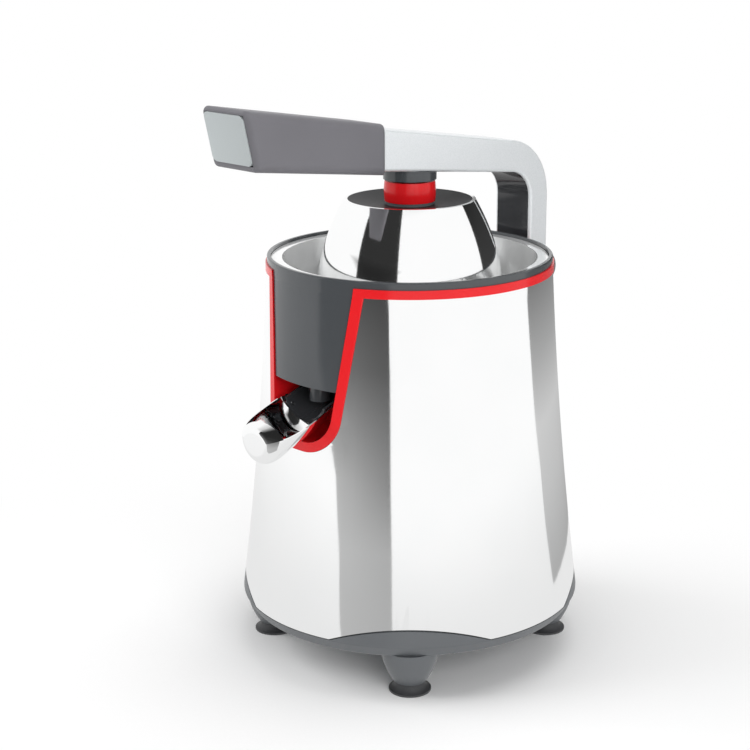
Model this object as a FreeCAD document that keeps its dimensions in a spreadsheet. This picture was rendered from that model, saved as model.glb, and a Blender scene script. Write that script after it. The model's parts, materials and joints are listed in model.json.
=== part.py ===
"""A lever citrus press: steel body on four suction feet, juice bowl, motor drive and a hinged press arm.

Millimetres, +Z up. The spout and the grip point to -Y, and z = 0 is the surface that the feet stand on.
Each sub-part is drawn with the drive axis as its own Z axis. All are placed behind the origin by half of
what the grip reaches further than the arm's post, so that the origin lies under the middle of the whole.
"""
import FreeCAD, Part
import math
import os
import Sketcher
from FreeCAD import Placement, Rotation, Vector

SIZES = [
    # Steel body
    ("shell_bottom_height", 34.0, "lower edge of the steel body above the table, between the feet"),
    ("shell_height", 195.8, "height of the steel body"),
    ("shell_bottom_radius", 102.0, "outer radius of the body at its lower edge"),
    ("shell_top_radius", 83.8, "outer radius of the body at its upper edge"),
    ("shell_waist", 2.0, "how far the side of the body curves in from a straight cone"),
    ("shell_wall", 0.8, "steel sheet of the body"),
    ("arch_rise", 10.0, "rise of the arches over the feet"),
    ("arch_half_width", 46.0, "half the width of such an arch"),
    ("fit_gap", 0.3, "clearance between pieces that fit together"),
    # Base and feet
    ("base_gap", 0.5, "shadow gap between body and base"),
    ("base_edge", 6.8, "height of the outer edge of the base"),
    ("base_sink", 5.0, "how far the middle of the base lies below its edge"),
    ("base_taper", 3.5, "how far the edge of the base tapers in"),
    ("base_wall", 3.0, "wall of the base"),
    ("base_floor_radius", 56.0, "radius of the flat middle of the base"),
    ("base_collar", 10.0, "height of the collar that enters the body"),
    ("foot_inset", 18.0, "foot centres inside the radius of the body"),
    ("leg_top_radius", 17.0, "radius of a leg where it meets the base"),
    ("leg_bulge", 1.4, "outward curve of the side of a leg"),
    ("leg_neck_radius", 9.6, "radius of a leg at its lower end"),
    ("leg_neck_height", 6.2, "lower end of a leg above the table"),
    ("cup_radius", 12.2, "radius of a suction cup"),
    ("cup_lip", 1.2, "flat lip of a suction cup"),
    ("cup_hollow", 2.4, "depth of the hollow under a cup"),
    ("stud_radius", 4.0, "radius of the stud on a cup"),
    ("stud_length", 9.0, "length of that stud"),
    ("bolt_inset", 23.0, "tie bolt centres inside the foot centres"),
    ("bolt_radius", 2.0, "tie bolt radius"),
    ("bolt_head_radius", 3.8, "radius of a screw head"),
    ("bolt_head", 2.6, "height of a screw head"),
    ("boss_radius", 5.0, "radius of a screw boss"),
    # Red liner
    ("trim_height", 4.9, "height of the red band under the rim"),
    ("trim_proud", 0.6, "how far the red trim stands out of the body"),
    ("trim_strip", 5.5, "width of the red strip round the front cut"),
    ("liner_wall", 2.4, "wall of the liner"),
    ("deck_thickness", 2.5, "thickness of the liner deck"),
    ("deck_gap", 3.8, "space between bowl floor and deck"),
    ("tower_height", 5.5, "height of the seal seat on the deck"),
    ("seal_radius", 10.0, "outer radius of the shaft seal"),
    ("pocket_back", 56.0, "back face of the spout pocket from the axis"),
    ("mouth_top_half", 33.9, "half width of the front opening at its top"),
    ("mouth_slope", 0.132, "slope of the sides of the opening"),
    ("mouth_drop", 20.0, "lower edge of the opening below the nozzle end"),
    ("mouth_round", 18.0, "corner radius of the opening"),
    # Juice bowl
    ("rim_height", 4.1, "height of the grey rim band"),
    ("rim_round", 0.8, "rounding of the outer edge of the rim"),
    ("rim_inset", 0.3, "rim radius inside the body radius"),
    ("bowl_gap", 1.4, "space between bowl and liner"),
    ("bowl_wall", 2.2, "wall of the bowl"),
    ("bowl_depth", 57.8, "rim to bowl floor at the chimney"),
    ("bowl_fall", 3.0, "fall of the bowl floor towards its edge"),
    ("seat_depth", 2.6, "strainer flange below the rim"),
    ("seat_lip", 2.2, "width of the rim outside the strainer flange"),
    ("apron_gap", 0.8, "gap between apron and red strip"),
    ("apron_wall", 2.6, "wall of the apron"),
    ("apron_clear", 11.3, "lower edge of the apron above the nozzle end"),
    ("nozzle_length", 14.0, "nozzle end below the bowl floor"),
    ("nozzle_radius", 6.0, "outer radius of the nozzle"),
    ("nozzle_bore", 4.0, "bore radius of the nozzle"),
    ("chimney_bore", 5.6, "bore radius of the chimney round the shaft"),
    ("chimney_wall", 2.8, "wall of the chimney"),
    ("chimney_height", 44.0, "height of the chimney above the bowl floor"),
    # Strainer
    ("strainer_wall", 0.8, "steel sheet of the strainer"),
    ("strainer_depth", 40.0, "flange to strainer floor"),
    ("strainer_taper", 2.0, "how much narrower the strainer is at its floor"),
    ("strainer_hole", 16.0, "radius of the hole in its middle"),
    ("strainer_lip", 3.2, "height of the lip round that hole"),
    ("slot_count", 36.0, "slots in the strainer floor"),
    ("slot_width", 2.2, "width of a slot"),
    ("slot_start", 42.0, "inner end of a slot from the axis"),
    ("slot_length", 24.0, "length of a slot"),
    # Juicing cone
    ("cone_radius", 38.0, "radius of the foot of the cone"),
    ("cone_height", 56.0, "height of the cone"),
    ("cone_clear", 8.0, "foot of the cone above the strainer floor"),
    ("cone_flange", 2.5, "thickness of the foot of the cone"),
    ("cone_step", 4.0, "step from the foot to the ribs"),
    ("cone_bulge", 7.0, "outward curve of the cone"),
    ("cone_bore_gap", 2.4, "space between chimney and cone"),
    ("rib_count", 10.0, "ribs on the cone"),
    ("rib_thickness", 3.0, "thickness of a rib"),
    ("rib_height", 2.6, "height of a rib"),
    ("socket_depth", 13.0, "depth of the drive socket"),
    # Drive
    ("shaft_radius", 4.0, "radius of the drive shaft"),
    ("hex_flats", 6.8, "drive hexagon across its flats"),
    ("run_gap", 0.05, "running clearance of a shaft or pin"),
    ("press_travel", 2.2, "how far the cone goes down when pressed"),
    ("bush_radius", 6.5, "outer radius of a shaft bush"),
    ("bush_length", 8.0, "length of the upper bush"),
    ("case_post", 8.0, "posts between gear case and deck"),
    ("case_radius", 46.0, "outer radius of the gear case"),
    ("case_wall", 3.0, "wall of the gear case"),
    ("bridge_half", 15.0, "half width of the gear bridge"),
    ("bridge_thickness", 3.2, "thickness of the gear bridge"),
    ("gear_module", 1.0, "module of all gears"),
    ("pinion_teeth", 12.0, "teeth of a pinion"),
    ("wheel_teeth", 48.0, "teeth of a wheel"),
    ("gear_width", 7.0, "width of a wheel"),
    ("gear_gap", 0.6, "side clearance of a gear"),
    ("backlash", 0.3, "backlash of the teeth"),
    ("axle_radius", 2.5, "radius of the idler axle"),
    ("spring_length", 9.0, "length of the return spring"),
    ("spring_radius", 8.6, "mean radius of the return spring"),
    ("spring_wire", 1.2, "wire of the return spring"),
    ("spring_turns", 3.0, "turns of the return spring"),
    ("press_plate_radius", 11.0, "radius of the press plate"),
    ("press_plate_thickness", 1.5, "thickness of the press plate"),
    ("switch_reach", 30.0, "switch plunger from the axis"),
    ("switch_width", 12.0, "width of the start switch"),
    ("switch_height", 6.4, "height of the start switch"),
    ("plunger_radius", 1.3, "radius of the switch plunger"),
    # Motor
    ("motor_radius", 30.0, "outer radius of the motor"),
    ("motor_length", 72.0, "length of the motor"),
    ("motor_wall", 1.6, "wall of the motor can"),
    ("stator_depth", 9.0, "radial depth of the stator"),
    ("air_gap", 0.8, "gap between stator and rotor"),
    ("core_length", 40.0, "length of stator and rotor"),
    ("motor_shaft_radius", 2.5, "radius of the motor shaft"),
    ("bearing_radius", 8.0, "outer radius of a motor bearing"),
    ("bearing_width", 5.0, "width of a motor bearing"),
    ("small_screw", 1.5, "radius of a small screw"),
    ("small_head", 2.8, "head radius of a small screw"),
    # Lever
    ("post_gap", 6.2, "post of the arm behind the body"),
    ("post_thickness", 16.6, "thickness of the post"),
    ("pivot_drop", 21.3, "lever pivot below the rim"),
    ("pin_radius", 3.0, "radius of the lever pin"),
    ("lever_bush_wall", 2.0, "wall of a lever bush"),
    ("arm_width", 28.8, "width of the arm"),
    ("arm_height", 22.3, "height of the arm above the drive axis"),
    ("arm_lift", 48.5, "underside of the arm above the rim, on the drive axis"),
    ("arm_under_slope", 0.1164, "rise of the underside towards the grip"),
    ("arm_top_slope", 0.155, "rise of the top towards the grip"),
    ("arm_front", 34.0, "front end of the silver arm from the axis"),
    ("arm_inner_round", 17.0, "inside bend of the arm"),
    ("arm_outer_round", 36.0, "outside bend of the arm"),
    ("arm_edge", 2.0, "rounding of the long edges of the arm"),
    ("cover_depth", 2.5, "thickness of the inside cover"),
    ("cover_lip", 1.8, "silver lip beside the inside cover"),
    ("cover_reach", 30.0, "length of the cover under the arm"),
    ("cover_foot", 14.0, "lower end of the cover above the pivot"),
    ("tongue_half", 10.5, "half width of the tongue in the grip"),
    ("tongue_inset", 6.0, "grip wall above and below the tongue"),
    ("ear_thickness", 6.0, "thickness of a bracket ear"),
    ("ear_radius", 9.5, "radius of a bracket ear"),
    ("ear_gap", 0.4, "side gap between arm and ear"),
    ("bracket_web", 3.8, "bracket plate on the body"),
    ("bracket_height", 33.0, "height of the bracket plate"),
    ("bracket_top", 1.0, "bracket plate below the red band"),
    # Grip
    ("grip_length", 103.0, "length of the grip along its top"),
    ("grip_rake", 7.5, "how far the end face of the grip slants back"),
    ("grip_width", 34.0, "width of the grip at the arm"),
    ("grip_flare", 3.0, "how much each side of the grip stands out at its end"),
    ("grip_below", 2.2, "grip below the arm"),
    ("grip_above", 2.8, "grip above the arm"),
    ("grip_under_slope", 0.131, "rise of the underside of the grip"),
    ("grip_top_slope", 0.164, "rise of the top of the grip"),
    ("grip_edge", 5.0, "rounding of the long edges of the grip"),
    ("cap_half", 16.0, "half width of the end plate"),
    ("cap_margin", 3.0, "grip above and below the end plate"),
    ("cap_thickness", 2.4, "thickness of the end plate"),
    ("cap_proud", 0.6, "how far the end plate stands out"),
    ("cap_round", 3.0, "corner radius of the end plate"),
    # Press dome
    ("dome_lift", 31.7, "top of the dome above the rim"),
    ("dome_top_radius", 38.3, "radius of the dome top"),
    ("dome_bottom_radius", 57.0, "radius of the dome at its lower edge"),
    ("dome_height", 62.5, "height of the dome"),
    ("dome_bulge", 3.6, "outward curve of the dome"),
    ("dome_wall", 1.0, "steel sheet of the dome"),
    ("cap_plate", 1.6, "thickness of the dark top plate"),
    ("dish_depth", 3.0, "middle of the top plate below the edge of the dome"),
    ("neck_height", 1.8, "grey neck under the red ring"),
    ("neck_radius", 14.2, "radius of that neck"),
    ("liner_thickness", 2.4, "thickness of the dome liner"),
    ("liner_height", 44.0, "height of the dome liner"),
    ("grip_rib_count", 12.0, "ribs inside the dome liner"),
    ("grip_rib_depth", 2.0, "height of those ribs"),
    ("ring_radius", 15.2, "radius of the red ring"),
    ("ring_bulge", 0.5, "barrel of the red ring"),
    ("ring_height", 11.8, "height of the red ring"),
    ("collar_radius", 15.6, "radius of the collar"),
    ("tilt_gap", 1.0, "gap between red ring and collar"),
    ("stem_radius", 8.6, "radius of the dome stem"),
    ("stem_gap", 1.4, "space round the stem for its tilt"),
    ("stem_flange", 14.0, "radius of the stem flange inside the dome"),
    ("tilt_pin_radius", 2.5, "radius of the dome pin"),
    ("tilt_pin_lift", 6.4, "dome pin above the underside of the arm"),
    # Spout
    ("spout_rise", 1.6, "rim of the spout above the nozzle end"),
    ("spout_slope", 0.36, "fall of the spout"),
    ("spout_inset", 7.7, "rear edge of the spout behind the skin of the body"),
    ("spout_flare_at", 14.0, "widest place of the spout from that edge"),
    ("spout_throat_at", 25.0, "place from that edge where the spout starts to narrow"),
    ("spout_arch_at", 34.0, "start of the closed nose from that edge"),
    ("spout_length", 41.0, "length of the spout"),
    ("spout_back_half", 19.5, "half width at the rear edge"),
    ("spout_flare_half", 21.0, "half width at the widest place"),
    ("spout_throat_half", 20.5, "half width where it starts to narrow"),
    ("spout_arch_half", 17.0, "half width where the nose starts"),
    ("spout_nose_half", 10.0, "half width at the front"),
    ("spout_back_depth", 13.5, "depth at the rear edge"),
    ("spout_flare_depth", 15.5, "depth at the widest place and where it starts to narrow"),
    ("spout_arch_depth", 16.8, "depth where the nose starts"),
    ("spout_nose_depth", 9.8, "depth at the front"),
    ("spout_roof", 6.2, "height of the roof of the nose"),
    ("spout_nose_round", 3.5, "rounding of the front of the nose"),
    ("spout_mouth", 6.5, "radius of the mouth under the nose"),
    ("spout_wall", 1.0, "steel of the spout"),
    ("chute_lap", 3.6, "how far the chute reaches into the spout"),
    ("chute_gap", 0.6, "space between chute and spout"),
    ("chute_wall", 1.8, "wall of the chute"),
    ("chute_end", 2.5, "end wall of the chute"),
    ("spout_pin_radius", 1.0, "radius of a spout pin"),
    ("spout_pin_drop", 4.0, "spout pins below the rim of the spout"),
    ("spout_pin_at", 1.5, "spout pins in front of the rear edge"),
    # Cord inlet
    ("gland_lift", 18.0, "gland above the lower edge of the body"),
    ("gland_radius", 6.0, "radius of the gland in the body"),
    ("gland_flange", 9.0, "flange radius of the gland"),
    ("gland_nose", 9.0, "how far the gland stands out"),
    ("gland_tail", 6.0, "how far the gland reaches inside"),
]

doc = FreeCAD.newDocument("CitrusPress")
sheet = doc.addObject("Spreadsheet::Sheet", "Sizes")


class Size:
    """A length with its present value and the sheet formula that gives it."""

    def __init__(self, value, text):
        self.value = float(value)
        self.text = text

    def __add__(self, other):
        other = size(other)
        return Size(self.value + other.value, f"({self.text} + {other.text})")

    def __sub__(self, other):
        other = size(other)
        return Size(self.value - other.value, f"({self.text} - {other.text})")

    def __mul__(self, other):
        other = size(other)
        return Size(self.value * other.value, f"({self.text} * {other.text})")

    def __truediv__(self, other):
        other = size(other)
        return Size(self.value / other.value, f"({self.text} / {other.text})")

    def __neg__(self):
        return Size(-self.value, f"(-1 * {self.text})")

    def __radd__(self, other):
        return size(other) + self

    def __rsub__(self, other):
        return size(other) - self

    def __rmul__(self, other):
        return size(other) * self

    @property
    def fixed(self):
        """True for a plain number that no cell of the sheet drives."""
        return "Sizes." not in self.text


def size(number):
    """Turn a plain number into a Size, and leave a Size as it is."""
    return number if isinstance(number, Size) else Size(number, repr(number))


def root(number):
    """Square root of a Size."""
    return Size(math.sqrt(number.value), f"sqrt({number.text})")


def bind(thing, prop, number):
    """Set a property from a Size and keep it tied to the sheet."""
    number = size(number)
    if not number.fixed:
        thing.setExpression(prop, number.text)


class Sheet:
    """The driving sizes by name."""


def fill_sheet():
    """Write the driving sizes into the sheet and return them by name."""
    named = Sheet()
    for row, (name, value, meaning) in enumerate(SIZES, start=1):
        sheet.set(f"A{row}", name)
        sheet.set(f"B{row}", str(value))
        sheet.set(f"C{row}", meaning)
        sheet.setAlias(f"B{row}", name)
        setattr(named, name, Size(value, f"Sizes.{name}"))
    doc.recompute()
    return named


S = fill_sheet()


class Bend:
    """An arc to the next corner, which bulges to the left (1) or right (-1) of the way there."""

    def __init__(self, radius, side):
        self.radius = size(radius)
        self.side = side


def arc_radius(half_chord, bulge):
    """Radius of the arc that rises by bulge over a chord of twice half_chord."""
    return (half_chord * half_chord + bulge * bulge) / (2 * bulge)


def slant_arc(run, rise, bulge):
    """Radius of the arc that rises by bulge over a slanting chord."""
    square = (run * run + rise * rise) / 4
    return (square + bulge * bulge) / (2 * bulge)


def circle(x, y, radius):
    """A round outline for a sketch."""
    return ("circle", size(x), size(y), size(radius))


def box(x_low, y_low, x_high, y_high):
    """A rectangular outline for a sketch."""
    return [(x_low, y_low), (x_high, y_low), (x_high, y_high), (x_low, y_high)]


class Outline:
    """Geometry and constraints of one sketch, gathered corner by corner."""

    def __init__(self, sketch):
        self.sketch = sketch
        self.rules = []
        self.bound = []

    def rule(self, kind, *values, tied=None):
        if tied is not None:
            self.bound.append((len(self.rules), tied))
            values = values + (tied.value,)
        self.rules.append(Sketcher.Constraint(kind, *values))

    def place(self, piece, end, x, y):
        """Hold one point at x, y from the sketch origin."""
        for kind, axis, number in (("DistanceX", -2, size(x)), ("DistanceY", -1, size(y))):
            if number.fixed and number.value == 0:
                self.rule("PointOnObject", piece, end, axis)
            else:
                self.rule(kind, -1, 1, piece, end, tied=number)

    def add_circle(self, x, y, radius):
        shape = Part.Circle(Vector(x.value, y.value, 0), Vector(0, 0, 1), radius.value)
        piece = self.sketch.addGeometry(shape, False)
        self.place(piece, 3, x, y)
        self.rule("Radius", piece, tied=radius)

    def add_arc(self, start, end, centre, clockwise):
        """Add an arc and return it with the numbers of its first and last point."""
        first, last = (end, start) if clockwise else (start, end)
        angles = [math.atan2(p.y - centre.y, p.x - centre.x) for p in (first, last)]
        ring = Part.Circle(centre, Vector(0, 0, 1), (start - centre).Length)
        piece = self.sketch.addGeometry(Part.ArcOfCircle(ring, *angles), False)
        return (piece, 2, 1) if clockwise else (piece, 1, 2)

    def add_loop(self, items):
        """Add a closed outline of corners (x, y) or (x, y, rounding) with a Bend where a side is curved."""
        corners, bends = [], {}
        for item in items:
            if isinstance(item, Bend):
                bends[len(corners) - 1] = item
            else:
                corners.append(item)
        count = len(corners)
        spots = [Vector(size(c[0]).value, size(c[1]).value, 0) for c in corners]
        entry, leave, middle = list(spots), list(spots), {}
        for index, corner in enumerate(corners):
            if len(corner) == 3:
                back = (spots[index - 1] - spots[index]).normalize()
                ahead = (spots[(index + 1) % count] - spots[index]).normalize()
                half = back.getAngle(ahead) / 2
                reach = size(corner[2]).value / math.tan(half)
                entry[index] = spots[index] + back * reach
                leave[index] = spots[index] + ahead * reach
                inward = (back + ahead).normalize()
                middle[index] = spots[index] + inward * (size(corner[2]).value / math.sin(half))
        sides = []
        for index in range(count):
            start, end = leave[index], entry[(index + 1) % count]
            if index in bends:
                bend = bends[index]
                chord = end - start
                left = Vector(-chord.y, chord.x, 0).normalize()
                depth = math.sqrt(bend.radius.value ** 2 - (chord.Length / 2) ** 2)
                centre = (start + end) * 0.5 - left * (depth * bend.side)
                side = self.add_arc(start, end, centre, bend.side > 0)
                self.rule("Radius", side[0], tied=bend.radius)
            else:
                side = (self.sketch.addGeometry(Part.LineSegment(start, end), False), 1, 2)
            sides.append(side)
        for index, corner in enumerate(corners):
            before, after = sides[index - 1], sides[index]
            if index not in middle:
                self.rule("Coincident", before[0], before[2], after[0], after[1])
                self.place(after[0], after[1], corner[0], corner[1])
                continue
            turn = (spots[index] - entry[index]).cross(leave[index] - spots[index]).z
            arc = self.add_arc(entry[index], leave[index], middle[index], turn < 0)
            self.rule("Tangent", before[0], before[2], arc[0], arc[1])
            self.rule("Tangent", arc[0], arc[2], after[0], after[1])
            self.rule("Radius", arc[0], tied=size(corner[2]))
            point = self.sketch.addGeometry(Part.Point(spots[index]), True)
            self.place(point, 1, corner[0], corner[1])
            self.rule("PointOnObject", point, 1, before[0])
            self.rule("PointOnObject", point, 1, after[0])

    def finish(self):
        self.sketch.addConstraint(self.rules)
        for index, number in self.bound:
            bind(self.sketch, f"Constraints[{index}]", number)


PIECES = []


class Piece:
    """One sub-part: a body with short calls for the features that shape it."""

    def __init__(self, label, several=False):
        self.body = doc.addObject("PartDesign::Body", label)
        self.body.Label = label
        self.body.AllowCompound = several
        bind(self.body, "Placement.Base.y", DRIVE_Y)
        self.feature = None
        PIECES.append(self.body)

    def origin(self, role):
        return [item for item in self.body.Origin.OriginFeatures if item.Role == role][0]

    def sketch(self, role, loops, shift=(0, 0, 0), turn=None):
        """A sketch on an origin plane, moved by shift in that plane's own axes and turned about its y."""
        sketch = self.body.newObject("Sketcher::SketchObject", "Outline")
        sketch.AttachmentSupport = [(self.origin(role), "")]
        sketch.MapMode = "FlatFace"
        moves = [size(move) for move in shift]
        spin = Rotation(Vector(0, 1, 0), turn or 0)
        sketch.AttachmentOffset = Placement(Vector(*[move.value for move in moves]), spin)
        for axis, move in zip("xyz", moves):
            bind(sketch, f"AttachmentOffset.Base.{axis}", move)
        outline = Outline(sketch)
        for loop in loops:
            if loop[0] == "circle":
                outline.add_circle(*loop[1:])
            else:
                outline.add_loop(loop)
        outline.finish()
        return sketch

    def close(self, feature, cut):
        """Recompute after a feature, and stop where a cut removed nothing."""
        before = self.feature.Shape.Volume if self.feature else 0
        self.body.Tip = feature
        self.feature = feature
        doc.recompute()
        if cut and not feature.Shape.Volume < before - 0.01:
            raise RuntimeError(f"{self.body.Label}: {feature.Name} cuts nothing")
        return feature

    def prism(self, role, loops, start, end, cut=False):
        """Extrude along the plane's normal from start to end, or cut that away."""
        feature = self.body.newObject("PartDesign::Pocket" if cut else "PartDesign::Pad", "Prism")
        feature.Profile = self.sketch(role, loops, (0, 0, start))
        length = size(end) - size(start)
        feature.Length = length.value
        bind(feature, "Length", length)
        feature.Reversed = cut
        return self.close(feature, cut)

    def slab(self, role, loops, width, cut=False, turn=None):
        """Extrude to both sides of the plane, width in all, or cut that away."""
        feature = self.body.newObject("PartDesign::Pocket" if cut else "PartDesign::Pad", "Slab")
        feature.Profile = self.sketch(role, loops, turn=turn)
        feature.SideType = "Symmetric"
        feature.Length = size(width).value
        bind(feature, "Length", width)
        return self.close(feature, cut)

    def revolve(self, loops, cut=False, shift=(0, 0, 0), turn=None, role="XZ_Plane", axis="V_Axis"):
        """Turn an outline round the sketch's own axis, or cut that away."""
        sketch = self.sketch(role, loops, shift, turn)
        feature = self.body.newObject("PartDesign::Groove" if cut else "PartDesign::Revolution", "Turned")
        feature.Profile = sketch
        feature.ReferenceAxis = (sketch, [axis])
        feature.Angle = 360
        return self.close(feature, cut)

    def loft(self, sketches, cut=False, smooth=False):
        """Skin a row of sketches, with straight sides unless it is smooth, or cut that away."""
        kind = "PartDesign::SubtractiveLoft" if cut else "PartDesign::AdditiveLoft"
        feature = self.body.newObject(kind, "Skin")
        feature.Profile = sketches[0]
        feature.Sections = sketches[1:]
        feature.Ruled = not smooth
        return self.close(feature, cut)

    def around(self, features, count):
        """Repeat features evenly round the Z axis."""
        pattern = self.body.newObject("PartDesign::PolarPattern", "Around")
        pattern.Originals = features
        pattern.Axis = (self.origin("Z_Axis"), [""])
        pattern.Angle = 360
        pattern.Occurrences = int(size(count).value)
        bind(pattern, "Occurrences", count)
        return self.close(pattern, False)

    def mirrored(self, features, role):
        """Repeat features on the other side of an origin plane."""
        pattern = self.body.newObject("PartDesign::Mirrored", "Other")
        pattern.Originals = features
        pattern.MirrorPlane = (self.origin(role), [""])
        return self.close(pattern, False)

    def fillet(self, radius, chosen):
        """Round the edges for which chosen(edge) is true."""
        shape = self.feature.Shape
        names = [f"Edge{i}" for i, edge in enumerate(shape.Edges, start=1) if chosen(edge)]
        base = self.feature
        feature = self.body.newObject("PartDesign::Fillet", "Round")
        feature.Base = (base, names)
        feature.Radius = size(radius).value
        bind(feature, "Radius", radius)
        return self.close(feature, False)


def plain(label, shape):
    """A sub-part whose shape is worked out by formula."""
    feature = doc.addObject("Part::Feature", label)
    feature.Label = label
    feature.Shape = shape
    bind(feature, "Placement.Base.y", DRIVE_Y)
    PIECES.append(feature)
    return feature


# Levels and radii that several pieces share

SHELL_TOP = S.shell_bottom_height + S.shell_height
TRIM_TOP = SHELL_TOP + S.trim_height
RIM_TOP = TRIM_TOP + S.rim_height
SHELL_FLARE = S.shell_bottom_radius - S.shell_top_radius
SHELL_ARC = slant_arc(SHELL_FLARE, S.shell_height, S.shell_waist)
FAR = S.shell_bottom_radius * 1.5

SKIRT_RADIUS = S.shell_top_radius - S.shell_wall - S.fit_gap
SKIRT_INSIDE = SKIRT_RADIUS - S.liner_wall
BOWL_RADIUS = SKIRT_INSIDE - S.bowl_gap
BOWL_INSIDE = BOWL_RADIUS - S.bowl_wall
RIM_RADIUS = S.shell_top_radius - S.rim_inset
SEAT_RADIUS = RIM_RADIUS - S.seat_lip
SEAT_TOP = RIM_TOP - S.seat_depth
BOWL_FLOOR = RIM_TOP - S.bowl_depth
BOWL_EDGE = BOWL_FLOOR - S.bowl_fall
NOZZLE_END = BOWL_EDGE - S.nozzle_length
NOZZLE_AT = BOWL_INSIDE - S.nozzle_bore - S.fit_gap * 2
APRON_BOTTOM = NOZZLE_END + S.apron_clear
MOUTH_BOTTOM = NOZZLE_END - S.mouth_drop
CHIMNEY_RADIUS = S.chimney_bore + S.chimney_wall
CHIMNEY_TOP = BOWL_FLOOR + S.chimney_height
DECK_TOP = BOWL_EDGE - S.bowl_wall - S.deck_gap
DECK_BOTTOM = DECK_TOP - S.deck_thickness
TOWER_TOP = DECK_TOP + S.tower_height

FOOT_CIRCLE = S.shell_bottom_radius - S.foot_inset
BOLT_CIRCLE = FOOT_CIRCLE - S.bolt_inset
BASE_TOP = S.shell_bottom_height - S.base_gap
BASE_LOW = BASE_TOP - S.base_edge
BASE_BOTTOM = BASE_LOW - S.base_sink
BASE_FLOOR = BASE_BOTTOM + S.base_wall
QUARTER = 45
BOLT_REAR = 15

STRAINER_FLOOR = SEAT_TOP - S.strainer_depth
STRAINER_RADIUS = BOWL_INSIDE - S.fit_gap * 4
CONE_FOOT = STRAINER_FLOOR + S.cone_clear
CONE_TIP = CONE_FOOT + S.cone_height
CONE_BORE = CHIMNEY_RADIUS + S.cone_bore_gap
CONE_CEILING = CHIMNEY_TOP + S.press_travel + S.cone_bore_gap

PINION_PITCH = S.gear_module * S.pinion_teeth / 2
WHEEL_PITCH = S.gear_module * S.wheel_teeth / 2
GEAR_CENTRES = PINION_PITCH + WHEEL_PITCH
CASE_Y = GEAR_CENTRES / 2
CASE_INSIDE = S.case_radius - S.case_wall
CASE_TOP = DECK_BOTTOM - S.case_post
ROOF_BOTTOM = CASE_TOP - S.case_wall
OUTPUT_TOP = ROOF_BOTTOM - S.gear_gap * 4
OUTPUT_BOTTOM = OUTPUT_TOP - S.gear_width
PLATE_TOP = OUTPUT_BOTTOM - S.gear_gap / 3
PLATE_BOTTOM = PLATE_TOP - S.press_plate_thickness
BRIDGE_TOP = PLATE_BOTTOM - S.spring_length
BRIDGE_BOTTOM = BRIDGE_TOP - S.bridge_thickness
SHAFT_END = BRIDGE_BOTTOM - S.gear_gap
PINION_TOP = SHAFT_END - S.press_travel - S.gear_gap
PINION_BOTTOM = PINION_TOP - S.gear_width
CASE_FLOOR = PINION_BOTTOM - S.gear_gap
CASE_BOTTOM = CASE_FLOOR - S.case_wall
MOTOR_BOTTOM = CASE_BOTTOM - S.motor_length

ARM_UNDER = RIM_TOP + S.arm_lift
ARM_TOP = ARM_UNDER + S.arm_height
POST_FRONT = S.shell_top_radius + S.post_gap
POST_BACK = POST_FRONT + S.post_thickness
PIVOT_Y = POST_FRONT + S.post_thickness / 2
PIVOT_Z = RIM_TOP - S.pivot_drop
GRIP_FRONT = S.arm_front + S.grip_length
DRIVE_Y = (GRIP_FRONT - POST_BACK) / 2
BRACKET_WIDTH = S.arm_width + (S.ear_gap + S.ear_thickness) * 2

DOME_TOP = RIM_TOP + S.dome_lift
DISH = DOME_TOP - S.dish_depth
DISH_SHEET = DISH - S.cap_plate
DOME_LOW = DOME_TOP - S.dome_height
RING_LOW = DISH + S.neck_height
RING_TOP = RING_LOW + S.ring_height
COLLAR_BOTTOM = RING_TOP + S.tilt_gap
TILT_Z = ARM_UNDER + S.tilt_pin_lift
STEM_ROOM = S.stem_radius + S.stem_gap

SPOUT_RIM = NOZZLE_END + S.spout_rise


def shell_radius(z, out=0):
    """Radius of the body's skin at height z, moved outward by out."""
    down = (SHELL_TOP - z) / S.shell_height
    return S.shell_top_radius + SHELL_FLARE * down - 4 * S.shell_waist * down * (1 - down) + out


SPOUT_START = shell_radius(SPOUT_RIM) - S.spout_inset
SPOUT_TIP = SPOUT_START + S.spout_length


def spout_rim(ahead):
    """Height of the spout's rim at a distance in front of its rear edge."""
    return SPOUT_RIM - S.spout_slope * ahead


def arm_under(forward):
    """Height of the arm's underside at a distance in front of the axis."""
    return ARM_UNDER + S.arm_under_slope * forward


def arm_top(forward):
    """Height of the arm's top at a distance in front of the axis."""
    return ARM_TOP + S.arm_top_slope * forward


def grip_under(forward):
    """Height of the grip's underside at a distance in front of the axis."""
    start = arm_under(S.arm_front) - S.grip_below
    return start + S.grip_under_slope * (forward - S.arm_front)


def grip_top(forward):
    """Height of the grip's top at a distance in front of the axis."""
    start = arm_top(S.arm_front) + S.grip_above
    return start + S.grip_top_slope * (forward - S.arm_front)


def mouth(grow, top, bottom=None):
    """Outline of the front opening, grown by grow all round. A bottom gives a flat lower edge instead."""
    lean = root(1 + S.mouth_slope * S.mouth_slope)

    def half(z):
        return S.mouth_top_half - S.mouth_slope * (TRIM_TOP - z) + size(grow) * lean

    low = MOUTH_BOTTOM - grow if bottom is None else bottom
    corner = S.mouth_round + grow if bottom is None else S.apron_gap
    return [(-half(top), top), (-half(low), low, corner), (half(low), low, corner), (half(top), top)]


def outside_of_body(out):
    """Profile of everything outside the body's skin, for cutting pieces flush with it."""
    low, high = size(0), RIM_TOP + S.rim_height
    start = S.shell_bottom_height
    return [(shell_radius(start, out), low), (shell_radius(start, out), start), Bend(SHELL_ARC, 1),
            (shell_radius(SHELL_TOP, out), SHELL_TOP), (shell_radius(SHELL_TOP, out), high),
            (FAR * 2, high), (FAR * 2, low)]


def inside_of_body(out, low, high):
    """Profile of everything inside the body's skin between two heights."""
    return [(0, low), (shell_radius(low, out), low), Bend(SHELL_ARC, 1), (shell_radius(high, out), high),
            (0, high)]


# Body, base and feet

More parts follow.
